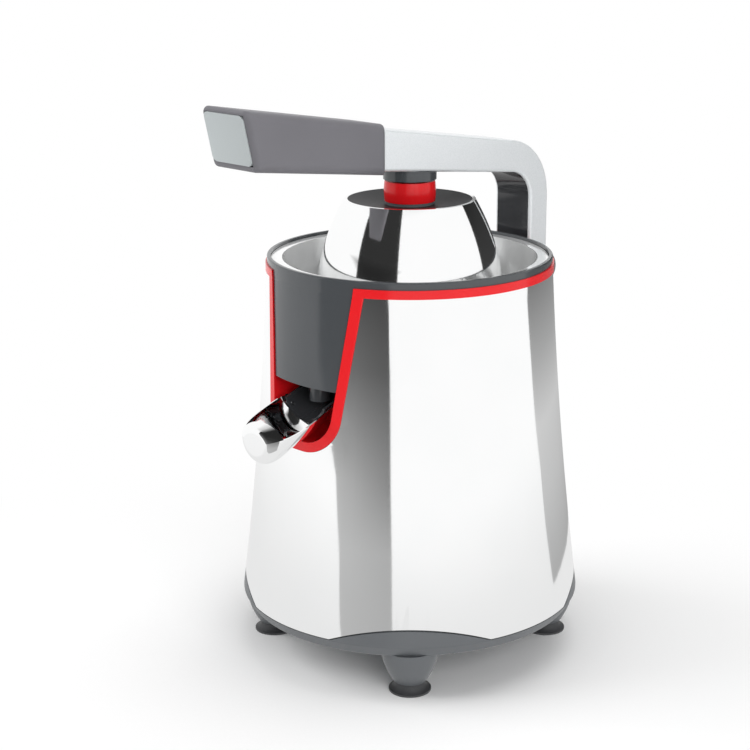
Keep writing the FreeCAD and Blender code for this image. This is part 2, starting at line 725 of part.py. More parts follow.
def make_outer_shell():
    """The flared steel skin, cut for the front opening, the feet, the bracket screws and the gland."""
    piece = Piece("outer_shell")
    low, top, wall = S.shell_bottom_height, SHELL_TOP, S.shell_wall
    piece.revolve([[(shell_radius(low), low), Bend(SHELL_ARC, 1), (shell_radius(top), top),
                    (shell_radius(top, -wall), top), Bend(SHELL_ARC, -1), (shell_radius(low, -wall), low)]])
    piece.prism("XZ_Plane", [mouth(S.trim_strip + S.fit_gap / 2, RIM_TOP)], 0, FAR, cut=True)
    arch = arc_radius(S.arch_half_width, S.arch_rise)
    half, below = S.arch_half_width, low - S.arch_rise
    for angle in (QUARTER, -QUARTER):
        piece.slab("XZ_Plane", [[(-half, low), Bend(arch, 1), (half, low), (half, below), (-half, below)]],
                   FAR * 2, cut=True, turn=angle)
    side, level = S.small_screw + S.fit_gap, bracket_screw_height()
    for x in bracket_screw_places():
        punched = box(x - side, level - side, x + side, level + side)
        piece.prism("XZ_Plane", [punched], -FAR, -PIVOT_Y / 2, cut=True)
    gland = circle(0, low + S.gland_lift, S.gland_radius + S.fit_gap / 2)
    piece.prism("XZ_Plane", [gland], -FAR, -PIVOT_Y / 2, cut=True)


def make_base_tray():
    """The shallow moulded base with a collar inside the body, crests in the arches and four legs."""
    piece = Piece("base_tray")
    edge = shell_radius(S.shell_bottom_height)
    collar_top = S.shell_bottom_height + S.base_collar
    collar = shell_radius(collar_top, -S.shell_wall) - S.fit_gap
    inner = collar - S.base_wall
    low_edge = edge - S.base_taper
    piece.revolve([[(0, BASE_BOTTOM), (S.base_floor_radius, BASE_BOTTOM), (low_edge, BASE_LOW, S.base_wall),
                    (edge, BASE_TOP), (collar, BASE_TOP), (collar, collar_top), (inner, collar_top),
                    (inner, BASE_LOW + S.base_wall), (S.base_floor_radius, BASE_FLOOR), (0, BASE_FLOOR)]])
    half, rise = S.arch_half_width - S.base_gap, S.arch_rise - S.base_gap
    crest, foot = arc_radius(half, rise), BASE_TOP - S.base_gap
    for angle in (QUARTER, -QUARTER):
        piece.slab("XZ_Plane", [[(-half, S.shell_bottom_height - S.base_gap), Bend(crest, 1),
                                 (half, S.shell_bottom_height - S.base_gap), (half, foot), (-half, foot)]],
                   edge * 2, turn=angle)
    piece.revolve([outside_of_body(0)], cut=True)
    piece.revolve([box(0, foot - S.base_gap, inner, collar_top + S.base_collar)], cut=True)
    hole_top = S.leg_neck_height + S.stud_length + S.fit_gap
    top = BASE_LOW + S.base_gap
    bulge = slant_arc(S.leg_top_radius - S.leg_neck_radius, top - S.leg_neck_height, S.leg_bulge)
    leg = piece.revolve([[(0, hole_top), (S.stud_radius, hole_top), (S.stud_radius, S.leg_neck_height),
                          (S.leg_neck_radius, S.leg_neck_height), Bend(bulge, -1), (S.leg_top_radius, top),
                          (0, top)]], shift=on_quarter(FOOT_CIRCLE), turn=QUARTER)
    piece.around([leg], 4)
    holes = [circle(x, y, S.bolt_radius + S.fit_gap) for x, y in bolt_places()]
    piece.prism("XY_Plane", holes, 0, BASE_FLOOR + S.base_sink, cut=True)


def on_quarter(radius):
    """Shift of a sketch that is turned by an eighth of a turn, to stand at a radius."""
    side = radius * math.cos(math.radians(QUARTER))
    return (side, 0, -side)


def make_suction_feet():
    """Four rubber cups, hollow below, each with a stud that goes up into its leg."""
    piece = Piece("suction_feet", several=True)
    inside = S.cup_radius - S.cup_lip
    stud_top = S.leg_neck_height + S.stud_length
    waist = S.leg_neck_radius - S.cup_lip
    neck = slant_arc(S.cup_radius - waist, S.leg_neck_height - S.cup_lip, S.cup_lip)
    foot = piece.revolve([[(0, S.cup_hollow), Bend(arc_radius(inside, S.cup_hollow), 1), (inside, 0),
                           (S.cup_radius, 0), (S.cup_radius, S.cup_lip), Bend(neck, 1),
                           (waist, S.leg_neck_height), (S.stud_radius, S.leg_neck_height),
                           (S.stud_radius, stud_top), (0, stud_top)]],
                         shift=on_quarter(FOOT_CIRCLE), turn=QUARTER)
    piece.around([foot], 4)


def bolt_places():
    """Centres of the tie bolts: the front pair in line with the feet, the rear pair beside the gear case."""
    turns = [math.radians(angle) for angle in (-QUARTER, BOLT_REAR)]
    return [(BOLT_CIRCLE * side * math.cos(turn), BOLT_CIRCLE * math.sin(turn))
            for turn in turns for side in (1, -1)]


def make_tie_bolts():
    """Four long bolts that draw the base up against the liner."""
    piece = Piece("tie_bolts", several=True)
    for x, y in bolt_places():
        piece.prism("XY_Plane", [circle(x, y, S.bolt_head_radius)], BASE_BOTTOM - S.bolt_head, BASE_BOTTOM)
        piece.prism("XY_Plane", [circle(x, y, S.bolt_radius)], BASE_BOTTOM, DECK_BOTTOM - S.fit_gap)


def make_cord_gland():
    """A closed grommet at the lower rear, with a dimple where a lead would enter."""
    piece = Piece("cord_gland")
    height = S.shell_bottom_height + S.gland_lift
    skin = shell_radius(height)
    back, face, nose = skin - S.gland_tail, skin + S.cup_lip * 2, skin + S.gland_nose
    tip = S.gland_radius - S.cup_lip
    piece.revolve([[(back, 0), (nose - S.gland_tail, 0), (nose, S.gland_radius / 2), (nose, tip),
                    (face, S.gland_radius), (face, S.gland_flange), (back, S.gland_flange)]],
                  shift=(0, height, 0), role="YZ_Plane", axis="H_Axis")
    piece.revolve([inside_of_body(S.run_gap, S.shell_bottom_height, SHELL_TOP)], cut=True)
    piece.revolve([box(back, 0, skin + S.cup_lip, S.gland_radius)], shift=(0, height, 0), role="YZ_Plane",
                  axis="H_Axis")


# Liner, bowl and strainer

def make_trim_liner():
    """The red moulding: rim band, U strip, spout pocket, skirt, deck and the seat of the shaft seal."""
    piece = Piece("trim_liner")
    back = S.pocket_back - S.liner_wall
    piece.prism("XZ_Plane", [mouth(S.trim_strip, TRIM_TOP)], back, FAR)
    piece.revolve([outside_of_body(S.trim_proud)], cut=True)
    piece.revolve([box(0, DECK_TOP, SKIRT_INSIDE, RIM_TOP)], cut=True)
    band = shell_radius(SHELL_TOP, S.trim_proud)
    tower = S.seal_radius + S.liner_wall
    piece.revolve([[(S.seal_radius, DECK_BOTTOM), (SKIRT_RADIUS, DECK_BOTTOM), (SKIRT_RADIUS, SHELL_TOP),
                    (band, SHELL_TOP), (band, TRIM_TOP), (SKIRT_INSIDE, TRIM_TOP), (SKIRT_INSIDE, DECK_TOP),
                    (tower, DECK_TOP), (tower, TOWER_TOP), (S.seal_radius, TOWER_TOP)]])
    piece.prism("XZ_Plane", [mouth(0, RIM_TOP)], S.pocket_back, FAR, cut=True)
    low = CASE_TOP + S.fit_gap
    bosses = [circle(x, y, S.boss_radius) for x, y in bolt_places()]
    bores = [circle(x, y, S.bolt_radius) for x, y in bolt_places()]
    piece.prism("XY_Plane", bosses, low, DECK_TOP)
    piece.prism("XY_Plane", bores, low, DECK_BOTTOM, cut=True)
    holes = [circle(x, bracket_screw_height(), S.small_screw) for x in bracket_screw_places()]
    piece.prism("XZ_Plane", holes, -FAR, -PIVOT_Y / 2, cut=True)


def make_juice_bowl():
    """The grey bowl with its rim, the apron that closes the front opening, the nozzle and the chimney."""
    piece = Piece("juice_bowl")
    apron_top = TRIM_TOP + S.rim_height / 4
    piece.prism("XZ_Plane", [mouth(-S.apron_gap, apron_top, APRON_BOTTOM)], S.pocket_back, FAR)
    piece.revolve([outside_of_body(-S.rim_inset)], cut=True)
    hollow = inside_of_body(-S.apron_wall, MOUTH_BOTTOM, SHELL_TOP)
    hollow[-1:] = [(shell_radius(SHELL_TOP, -S.apron_wall), RIM_TOP), (0, RIM_TOP)]
    piece.revolve([hollow], cut=True)
    under = BOWL_FLOOR - S.bowl_wall
    piece.revolve([[(S.chimney_bore, under), (BOWL_RADIUS, BOWL_EDGE - S.bowl_wall), (BOWL_RADIUS, TRIM_TOP),
                    (RIM_RADIUS, TRIM_TOP), (RIM_RADIUS, RIM_TOP, S.rim_round), (SEAT_RADIUS, RIM_TOP),
                    (SEAT_RADIUS, SEAT_TOP), (BOWL_INSIDE, SEAT_TOP), (BOWL_INSIDE, BOWL_EDGE),
                    (CHIMNEY_RADIUS, BOWL_FLOOR), (CHIMNEY_RADIUS, CHIMNEY_TOP),
                    (S.chimney_bore, CHIMNEY_TOP)]])
    piece.prism("XY_Plane", [circle(0, -NOZZLE_AT, S.nozzle_radius)], NOZZLE_END, BOWL_EDGE - S.bowl_wall / 2)
    piece.prism("XY_Plane", [circle(0, -NOZZLE_AT, S.nozzle_bore)], NOZZLE_END, BOWL_FLOOR, cut=True)


def make_strainer():
    """The polished basket: flange, wall, floor that rises to a lip, and a ring of slots."""
    piece = Piece("strainer")
    wall, low = S.strainer_wall, STRAINER_FLOOR
    foot = STRAINER_RADIUS - S.strainer_taper
    flange = SEAT_RADIUS - S.fit_gap
    hub = S.strainer_hole + wall
    hub_floor = low + S.strainer_taper
    piece.revolve([[(flange, SEAT_TOP), (flange, SEAT_TOP + wall), (STRAINER_RADIUS - wall, SEAT_TOP + wall),
                    (foot - wall, low + wall, S.strainer_lip), (hub, hub_floor + wall),
                    (hub, hub_floor + S.strainer_lip), (S.strainer_hole, hub_floor + S.strainer_lip),
                    (S.strainer_hole, hub_floor), (foot, low, S.strainer_lip + wall),
                    (STRAINER_RADIUS, SEAT_TOP)]])
    half = S.slot_width / 2
    slot = piece.prism("XY_Plane", [box(S.slot_start, -half, S.slot_start + S.slot_length, half)],
                       low - S.strainer_lip, SEAT_TOP, cut=True)
    piece.around([slot], S.slot_count)


# Juicing cone and its drive

def make_juicing_cone():
    """The reamer: a hollow ogive on a flat foot, with ribs that meet at the tip and a drive socket."""
    piece = Piece("juicing_cone")
    shoulder = CONE_FOOT + S.cone_flange
    core = S.cone_radius - S.cone_step
    tip = S.rib_thickness / 2
    rise = S.cone_height - S.cone_flange
    curve = slant_arc(core - tip, rise, S.cone_bulge)
    piece.revolve([[(CONE_BORE, CONE_FOOT), (S.cone_radius, CONE_FOOT), (S.cone_radius, shoulder),
                    (core, shoulder), Bend(curve, -1), (tip, CONE_TIP), (0, CONE_TIP), (0, CONE_CEILING),
                    (CONE_BORE, CONE_CEILING)]])
    crest = core + S.rib_height
    ridge = slant_arc(crest, rise, S.cone_bulge + S.rib_height / 2)
    inner, heart = CONE_BORE + S.rib_thickness, CONE_CEILING + S.rib_thickness
    rib = piece.slab("XZ_Plane", [[(0, heart), (inner, heart), (inner, shoulder - S.cone_flange / 2),
                                   (crest, shoulder - S.cone_flange / 2), (crest, shoulder), Bend(ridge, -1),
                                   (0, CONE_TIP)]], S.rib_thickness)
    piece.around([rib], S.rib_count)
    piece.prism("XY_Plane", [hexagon(S.hex_flats + S.run_gap * 2)], CONE_CEILING,
                CONE_CEILING + S.socket_depth, cut=True)


def hexagon(flats):
    """Hexagonal outline with the given width across flats."""
    half = flats / 2
    point = flats / math.sqrt(3)
    return [(point, 0), (point / 2, half), (-point / 2, half), (-point, 0), (-point / 2, -half),
            (point / 2, -half)]


def make_drive_shaft():
    """The shaft from the gear bridge up to the hexagon inside the cone."""
    piece = Piece("drive_shaft")
    shoulder = CONE_CEILING - S.cone_bore_gap
    piece.prism("XY_Plane", [circle(0, 0, S.shaft_radius)], SHAFT_END, shoulder)
    piece.prism("XY_Plane", [hexagon(S.hex_flats)], shoulder - S.cone_bore_gap,
                CONE_CEILING + S.socket_depth - S.fit_gap)


def make_shaft_seal():
    """The rubber ring in the seat on the deck, with a groove in its upper face."""
    piece = Piece("shaft_seal")
    bore = S.shaft_radius + S.run_gap
    lip = (S.seal_radius + bore) / 2
    piece.revolve([[(bore, DECK_TOP), (S.seal_radius, DECK_TOP), (S.seal_radius, TOWER_TOP),
                    (lip + S.run_gap * 20, TOWER_TOP), (lip, TOWER_TOP - S.tower_height / 2),
                    (bore, TOWER_TOP)]])


def ring(inner, outer, low, high):
    """Half section of a plain ring."""
    return box(inner, low, outer, high)


def make_shaft_bushes():
    """A long bush in the roof of the gear case and a short one in the bridge."""
    piece = Piece("shaft_bushes", several=True)
    bore = S.shaft_radius + S.run_gap
    piece.revolve([ring(bore, S.bush_radius, ROOF_BOTTOM, ROOF_BOTTOM + S.bush_length),
                   ring(bore, S.bush_radius, BRIDGE_BOTTOM, BRIDGE_TOP)])


def make_gear_cover():
    """The round cup over the gears, with a boss for the bush and posts up to the deck."""
    piece = Piece("gear_cover")
    piece.prism("XY_Plane", [circle(0, CASE_Y, S.case_radius)], CASE_FLOOR, CASE_TOP)
    piece.prism("XY_Plane", [circle(0, CASE_Y, CASE_INSIDE)], CASE_FLOOR, ROOF_BOTTOM, cut=True)
    boss = S.bush_radius + S.case_wall
    piece.prism("XY_Plane", [circle(0, 0, boss)], CASE_TOP - S.case_wall / 2, ROOF_BOTTOM + S.bush_length)
    piece.prism("XY_Plane", [circle(0, 0, S.bush_radius)], ROOF_BOTTOM, ROOF_BOTTOM + S.bush_length, cut=True)
    piece.prism("XY_Plane", [circle(0, GEAR_CENTRES, S.axle_radius)], ROOF_BOTTOM, CASE_TOP, cut=True)
    for x, y in case_posts():
        piece.prism("XY_Plane", [circle(x, y, S.boss_radius)], CASE_TOP - S.case_wall / 2, DECK_BOTTOM)
        piece.prism("XY_Plane", [circle(x, y, S.small_screw)], CASE_FLOOR, DECK_BOTTOM - S.case_post / 2,
                    cut=True)


def case_posts():
    """Centres of the four posts on the gear case, beside the gears."""
    reach = CASE_INSIDE - S.boss_radius
    side = reach * math.cos(math.radians(20))
    away = reach * math.sin(math.radians(20))
    return [(side, CASE_Y - away), (-side, CASE_Y - away), (side, CASE_Y + away), (-side, CASE_Y + away)]


def make_gear_plate():
    """The floor of the gear case, which carries the motor and the idler axle."""
    piece = Piece("gear_plate")
    piece.prism("XY_Plane", [circle(0, CASE_Y, S.case_radius)], CASE_BOTTOM, CASE_FLOOR)
    piece.prism("XY_Plane", [circle(0, 0, S.bearing_radius + S.fit_gap)], CASE_BOTTOM, CASE_FLOOR, cut=True)
    piece.prism("XY_Plane", [circle(0, GEAR_CENTRES, S.axle_radius)], CASE_BOTTOM, CASE_FLOOR, cut=True)
    holes = [circle(x, 0, S.small_screw) for x in motor_screw_places()]
    piece.prism("XY_Plane", holes, CASE_BOTTOM, CASE_FLOOR, cut=True)


def motor_screw_places():
    """Distances of the two motor screws along X."""
    reach = S.motor_radius - S.motor_wall - S.stator_depth
    return [reach, -reach]


def make_motor_screws():
    """Two screws through the floor of the gear case into the motor can."""
    piece = Piece("motor_screws", several=True)
    for x in motor_screw_places():
        piece.prism("XY_Plane", [circle(x, 0, S.small_screw)], CASE_BOTTOM - S.motor_wall * 2, CASE_FLOOR)
    return piece


def make_gear_bridge():
    """The bridge across the case that carries the lower bush, the spring and the switch."""
    piece = Piece("gear_bridge")
    reach = root(CASE_INSIDE * CASE_INSIDE - (CASE_Y + S.bridge_half) * (CASE_Y + S.bridge_half)) - S.fit_gap
    piece.prism("XY_Plane", [box(-reach, -S.bridge_half, reach, S.bridge_half),
                             circle(0, 0, S.bush_radius)], BRIDGE_BOTTOM, BRIDGE_TOP)
    leg = S.case_wall * 1.2
    legs = [box(reach - leg, -S.bridge_half, reach, S.bridge_half),
            box(-reach, -S.bridge_half, leg - reach, S.bridge_half)]
    piece.prism("XY_Plane", legs, CASE_FLOOR, BRIDGE_BOTTOM + S.bridge_thickness / 2)


def gear_shape(teeth, module, width, low, turn, place):
    """A spur gear with stub teeth: involute flanks drawn as arcs through three points."""
    pitch = module * teeth / 2
    base = pitch * math.cos(math.radians(20))
    tip, foot = pitch + 0.8 * module, pitch - 1.1 * module
    half_pitch = (math.pi * module / 2 - S.backlash.value) / (2 * pitch)
    lead = math.tan(math.radians(20)) - math.radians(20)

    def half_angle(radius):
        slope = math.acos(min(1.0, base / radius))
        return half_pitch + lead - (math.tan(slope) - slope)

    def spot(radius, angle):
        return Vector(radius * math.cos(angle), radius * math.sin(angle), 0)

    edges = []
    step = 2 * math.pi / teeth
    middle = (max(base, foot) + tip) / 2
    for index in range(int(teeth)):
        axis = index * step + math.radians(turn)
        root_half, tip_half, mid_half = half_angle(foot), half_angle(tip), half_angle(middle)
        up = [spot(foot, axis - root_half), spot(middle, axis - mid_half), spot(tip, axis - tip_half)]
        down = [spot(tip, axis + tip_half), spot(middle, axis + mid_half), spot(foot, axis + root_half)]
        edges.append(Part.Arc(*up).toShape())
        edges.append(Part.LineSegment(up[2], down[0]).toShape())
        edges.append(Part.Arc(*down).toShape())
        edges.append(Part.LineSegment(down[2], spot(foot, axis + step - root_half)).toShape())
    face = Part.Face(Part.Wire(edges))
    solid = face.extrude(Vector(0, 0, width))
    solid.translate(Vector(0, place, low))
    return solid


def bored(solid, radius, place):
    """Cut a hole along Z through a solid at a distance along Y."""
    tall = solid.BoundBox.ZLength
    hole = Part.makeCylinder(radius, 3 * tall, Vector(0, place, solid.BoundBox.ZMin - tall))
    return solid.cut(hole).removeSplitter()


def make_gears():
    """Motor pinion, compound idler and output wheel, each with a tooth set against its neighbour's gap."""
    module, pinion, wheel = S.gear_module.value, S.pinion_teeth.value, S.wheel_teeth.value
    idler_y, half_tooth = GEAR_CENTRES.value, 180 / S.pinion_teeth.value
    width = S.gear_width.value
    low = PINION_BOTTOM.value
    motor = gear_shape(pinion, module, width, low, half_tooth, 0)
    plain("motor_pinion", bored(motor, S.motor_shaft_radius.value, 0))
    upper_low = OUTPUT_BOTTOM.value - S.press_travel.value
    upper = gear_shape(pinion, module, OUTPUT_TOP.value - upper_low, upper_low, half_tooth, idler_y)
    hub = Part.makeCylinder(PINION_PITCH.value, upper_low - low, Vector(0, idler_y, low))
    lower = gear_shape(wheel, module, width, low, 0, idler_y)
    idler = lower.fuse([hub, upper]).removeSplitter()
    plain("idler_gear", bored(idler, S.axle_radius.value + S.run_gap.value, idler_y))
    output = gear_shape(wheel, module, width, OUTPUT_BOTTOM.value, 0, 0)
    plain("output_gear", bored(output, S.shaft_radius.value, 0))


def make_idler_axle():
    """The pin between floor and roof of the gear case on which the idler turns."""
    piece = Piece("idler_axle")
    piece.prism("XY_Plane", [circle(0, GEAR_CENTRES, S.axle_radius)], CASE_BOTTOM, CASE_TOP)


def make_gear_screws():
    """Four screws that hold floor and cover of the gear case together."""
    piece = Piece("gear_screws", several=True)
    for x, y in case_posts():
        piece.prism("XY_Plane", [circle(x, y, S.small_screw)], CASE_FLOOR, DECK_BOTTOM - S.case_post / 2)


def make_press_plate():
    """The thrust plate under the output wheel, with an arm over the switch."""
    piece = Piece("press_plate")
    half = S.switch_width / 4
    piece.prism("XY_Plane", [circle(0, 0, S.press_plate_radius)], PLATE_BOTTOM, PLATE_TOP)
    tongue = box(S.shaft_radius * 2, -half, S.switch_reach + half, half)
    piece.prism("XY_Plane", [tongue], PLATE_BOTTOM, PLATE_TOP)
    piece.prism("XY_Plane", [circle(0, 0, S.shaft_radius + S.run_gap)], PLATE_BOTTOM, PLATE_TOP, cut=True)


def make_return_spring():
    """The coil between bridge and press plate: a round wire along arcs of a quarter turn each."""
    radius, wire = S.spring_radius.value, S.spring_wire.value
    low = (BRIDGE_TOP + S.spring_wire / 2 + S.fit_gap / 2).value
    rise = (S.spring_length - S.spring_wire - S.fit_gap).value
    quarters = int(4 * S.spring_turns.value)

    def spot(step):
        angle = step * math.pi / 2
        return Vector(radius * math.cos(angle), radius * math.sin(angle), low + rise * step / quarters)

    arcs = [Part.Arc(spot(i), spot(i + 0.5), spot(i + 1)).toShape() for i in range(quarters)]
    start = Part.Circle(spot(0), Vector(0, 1, 0), wire / 2)
    coil = Part.Wire(arcs).makePipeShell([Part.Wire(start.toShape())], True, False)
    plain("return_spring", coil)


def make_start_switch():
    """The switch on the bridge, with a bore for its plunger."""
    piece = Piece("start_switch")
    half = S.switch_width / 2
    top = BRIDGE_TOP + S.switch_height
    far = S.switch_reach + S.plunger_radius * 2
    piece.prism("XY_Plane", [box(far - S.switch_width, -half, far, half)], BRIDGE_TOP, top)
    piece.prism("XY_Plane", [circle(S.switch_reach, 0, S.plunger_radius + S.run_gap * 2)],
                BRIDGE_TOP + S.press_plate_thickness, top, cut=True)


def make_switch_plunger():
    """The button between switch and press plate."""
    piece = Piece("switch_plunger")
    low = BRIDGE_TOP + S.press_plate_thickness + S.press_travel + S.fit_gap
    piece.prism("XY_Plane", [circle(S.switch_reach, 0, S.plunger_radius)], low, PLATE_BOTTOM)


def make_motor():
    """Can, stator, rotor, shaft and bearings of the motor, which hangs under the gear case."""
    top, low, wall = CASE_BOTTOM, MOTOR_BOTTOM, S.motor_wall
    inside = S.motor_radius - wall
    bore = inside - S.stator_depth
    middle = (top + low) / 2
    core_low, core_high = middle - S.core_length / 2, middle + S.core_length / 2
    upper, lower = top - wall, low + wall
    can = Piece("motor_can")
    can.revolve([[(0, low), (S.motor_radius, low), (S.motor_radius, top), (S.bearing_radius, top),
                  (S.bearing_radius, upper - S.bearing_width),
                  (S.bearing_radius + wall, upper - S.bearing_width),
                  (S.bearing_radius + wall, upper), (inside, upper), (inside, lower),
                  (S.bearing_radius + wall, lower), (S.bearing_radius + wall, lower + S.bearing_width),
                  (S.bearing_radius, lower + S.bearing_width), (S.bearing_radius, lower), (0, lower)]])
    holes = [circle(x, 0, S.small_screw) for x in motor_screw_places()]
    can.prism("XY_Plane", holes, top - wall * 2, top, cut=True)
    Piece("motor_stator").revolve([ring(bore, inside, core_low, core_high)])
    rotor = bore - S.air_gap
    Piece("motor_rotor").revolve([ring(S.motor_shaft_radius, rotor, core_low, core_high)])
    shaft = Piece("motor_shaft")
    shaft.prism("XY_Plane", [circle(0, 0, S.motor_shaft_radius)], lower + S.fit_gap, PINION_TOP)
    inner = S.motor_shaft_radius + S.run_gap
    bearings = Piece("motor_bearings", several=True)
    bearings.revolve([ring(inner, S.bearing_radius, lower, lower + S.bearing_width),
                      ring(inner, S.bearing_radius, upper - S.bearing_width, upper)])


# Lever

def bracket_screw_places():
    """Distances of the two bracket screws along X."""
    reach = S.arm_width / 2 - S.small_head - S.ear_gap
    return [reach, -reach]


def bracket_screw_height():
    """Height of the bracket screws, near the lower edge of the plate."""
    return SHELL_TOP - S.bracket_top - S.bracket_height + S.small_head * 2


def make_hinge_bracket():
    """The plate on the rear of the body with the two ears that hold the lever pin."""
    piece = Piece("hinge_bracket")
    top = SHELL_TOP - S.bracket_top
    low = top - S.bracket_height
    half = BRACKET_WIDTH / 2
    inner = S.shell_top_radius - S.ear_radius
    web = POST_FRONT - S.post_gap + S.bracket_web
    piece.prism("XZ_Plane", [box(-half, low, half, top)], -web, -inner)
    rise = S.ear_radius
    piece.slab("YZ_Plane", [[(inner, low), (PIVOT_Y, PIVOT_Z - rise), (PIVOT_Y, PIVOT_Z + rise),
                             (inner, top)]], BRACKET_WIDTH)
    piece.slab("YZ_Plane", [circle(PIVOT_Y, PIVOT_Z, S.ear_radius)], BRACKET_WIDTH)
    piece.revolve([inside_of_body(S.fit_gap / 3, S.shell_bottom_height, SHELL_TOP)], cut=True)
    slot = [box(web, low - rise, POST_BACK + rise, top + rise)]
    piece.slab("YZ_Plane", slot, S.arm_width + S.ear_gap * 2, cut=True)
    piece.slab("YZ_Plane", [circle(PIVOT_Y, PIVOT_Z, S.pin_radius)], BRACKET_WIDTH * 2, cut=True)
    holes = [circle(x, bracket_screw_height(), S.small_screw) for x in bracket_screw_places()]
    piece.prism("XZ_Plane", holes, -POST_BACK, -inner, cut=True)


def make_bracket_screws():
    """Two screws through the bracket plate and the body into the liner."""
    piece = Piece("bracket_screws", several=True)
    web = POST_FRONT - S.post_gap + S.bracket_web
    inner = SKIRT_INSIDE - S.liner_wall / 2
    for x in bracket_screw_places():
        z = bracket_screw_height()
        piece.prism("XZ_Plane", [circle(x, z, S.small_screw)], -web, -inner)
        piece.prism("XZ_Plane", [circle(x, z, S.small_head)], -(web + S.small_screw), -web)


def make_lever_pin():
    """The pin through both ears."""
    piece = Piece("lever_pin")
    piece.slab("YZ_Plane", [circle(PIVOT_Y, PIVOT_Z, S.pin_radius)], BRACKET_WIDTH)


def make_lever_bushes():
    """Two bushes in the foot of the post."""
    piece = Piece("lever_bushes", several=True)
    half = S.arm_width / 2
    outer = S.pin_radius + S.lever_bush_wall
    section = [circle(PIVOT_Y, PIVOT_Z, outer), circle(PIVOT_Y, PIVOT_Z, S.pin_radius + S.run_gap)]
    piece.prism("YZ_Plane", section, half / 3, half)
    piece.prism("YZ_Plane", section, -half, -half / 3)


def cover_outline(depth, end_gap):
    """Side view of the layer on the inside of the bend, depth thick, shortened by end_gap at its ends."""
    lean = root(1 + S.arm_under_slope * S.arm_under_slope)
    start = POST_FRONT - S.cover_reach + end_gap
    foot = PIVOT_Z + S.cover_foot + end_gap
    deep = POST_FRONT + depth
    return [(start, arm_under(-start)), (POST_FRONT, arm_under(-POST_FRONT), S.arm_inner_round),
            (POST_FRONT, foot), (deep, foot),
            (deep, arm_under(-deep) + depth * lean, S.arm_inner_round + depth),
            (start, arm_under(-start) + depth * lean)]


def make_lever_arm():
    """The silver arm: a bent bar with a round foot at the pivot, a tongue for the grip and a stem hollow."""
    piece = Piece("lever_arm")
    front = -S.arm_front
    piece.slab("YZ_Plane", [[(front, arm_under(S.arm_front)),
                             (POST_FRONT, arm_under(-POST_FRONT), S.arm_inner_round), (POST_FRONT, PIVOT_Z),
                             (POST_BACK, PIVOT_Z), (POST_BACK, arm_top(-POST_BACK), S.arm_outer_round),
                             (front, arm_top(S.arm_front))]], S.arm_width)
    half = S.arm_width.value / 2
    piece.fillet(S.arm_edge, lambda edge: all(abs(abs(v.X) - half) < 0.01 for v in edge.Vertexes)
                 and edge.CenterOfMass.y > front.value + 1 and edge.CenterOfMass.z > PIVOT_Z.value + 1)
    piece.slab("YZ_Plane", [circle(PIVOT_Y, PIVOT_Z, S.post_thickness / 2)], S.arm_width)
    tip = -(GRIP_FRONT - S.grip_rake - S.cap_thickness * 4)
    inset, deep = S.tongue_inset, front + S.arm_edge * 2
    piece.slab("YZ_Plane", [[(tip, grip_under(-tip) + inset), (deep, grip_under(-deep) + inset),
                             (deep, grip_top(-deep) - inset), (tip, grip_top(-tip) - inset)]],
               S.tongue_half * 2)
    piece.slab("YZ_Plane", [cover_outline(S.cover_depth, size(0))],
               S.arm_width - S.cover_lip * 2, cut=True)
    piece.prism("XY_Plane", [circle(0, 0, STEM_ROOM)], COLLAR_BOTTOM,
                TILT_Z + S.stem_radius + S.stem_gap, cut=True)
    piece.slab("YZ_Plane", [circle(0, TILT_Z, S.tilt_pin_radius)], tilt_pin_length(), cut=True)
    bush = circle(PIVOT_Y, PIVOT_Z, S.pin_radius + S.lever_bush_wall)
    piece.slab("YZ_Plane", [bush], S.arm_width * 2, cut=True)


def make_arm_cover():
    """The dark cover that closes the inside of the bend and of the post."""
    piece = Piece("arm_cover")
    piece.slab("YZ_Plane", [cover_outline(S.cover_depth - S.run_gap, S.fit_gap / 2)],
               S.arm_width - (S.cover_lip + S.fit_gap / 2) * 2)


def grip_end(z_low, z_high, depth):
    """Slice of the slanted end of the grip between two heights, from depth inside to the end face."""
    slant = S.grip_rake / (grip_top(GRIP_FRONT) - grip_under(GRIP_FRONT - S.grip_rake))

    def face(z):
        return -(GRIP_FRONT - slant * (grip_top(GRIP_FRONT) - z))

    return face, [(face(z_low), z_low), (face(z_high), z_high), (face(z_high) + depth, z_high),
                  (face(z_low) + depth, z_low)]


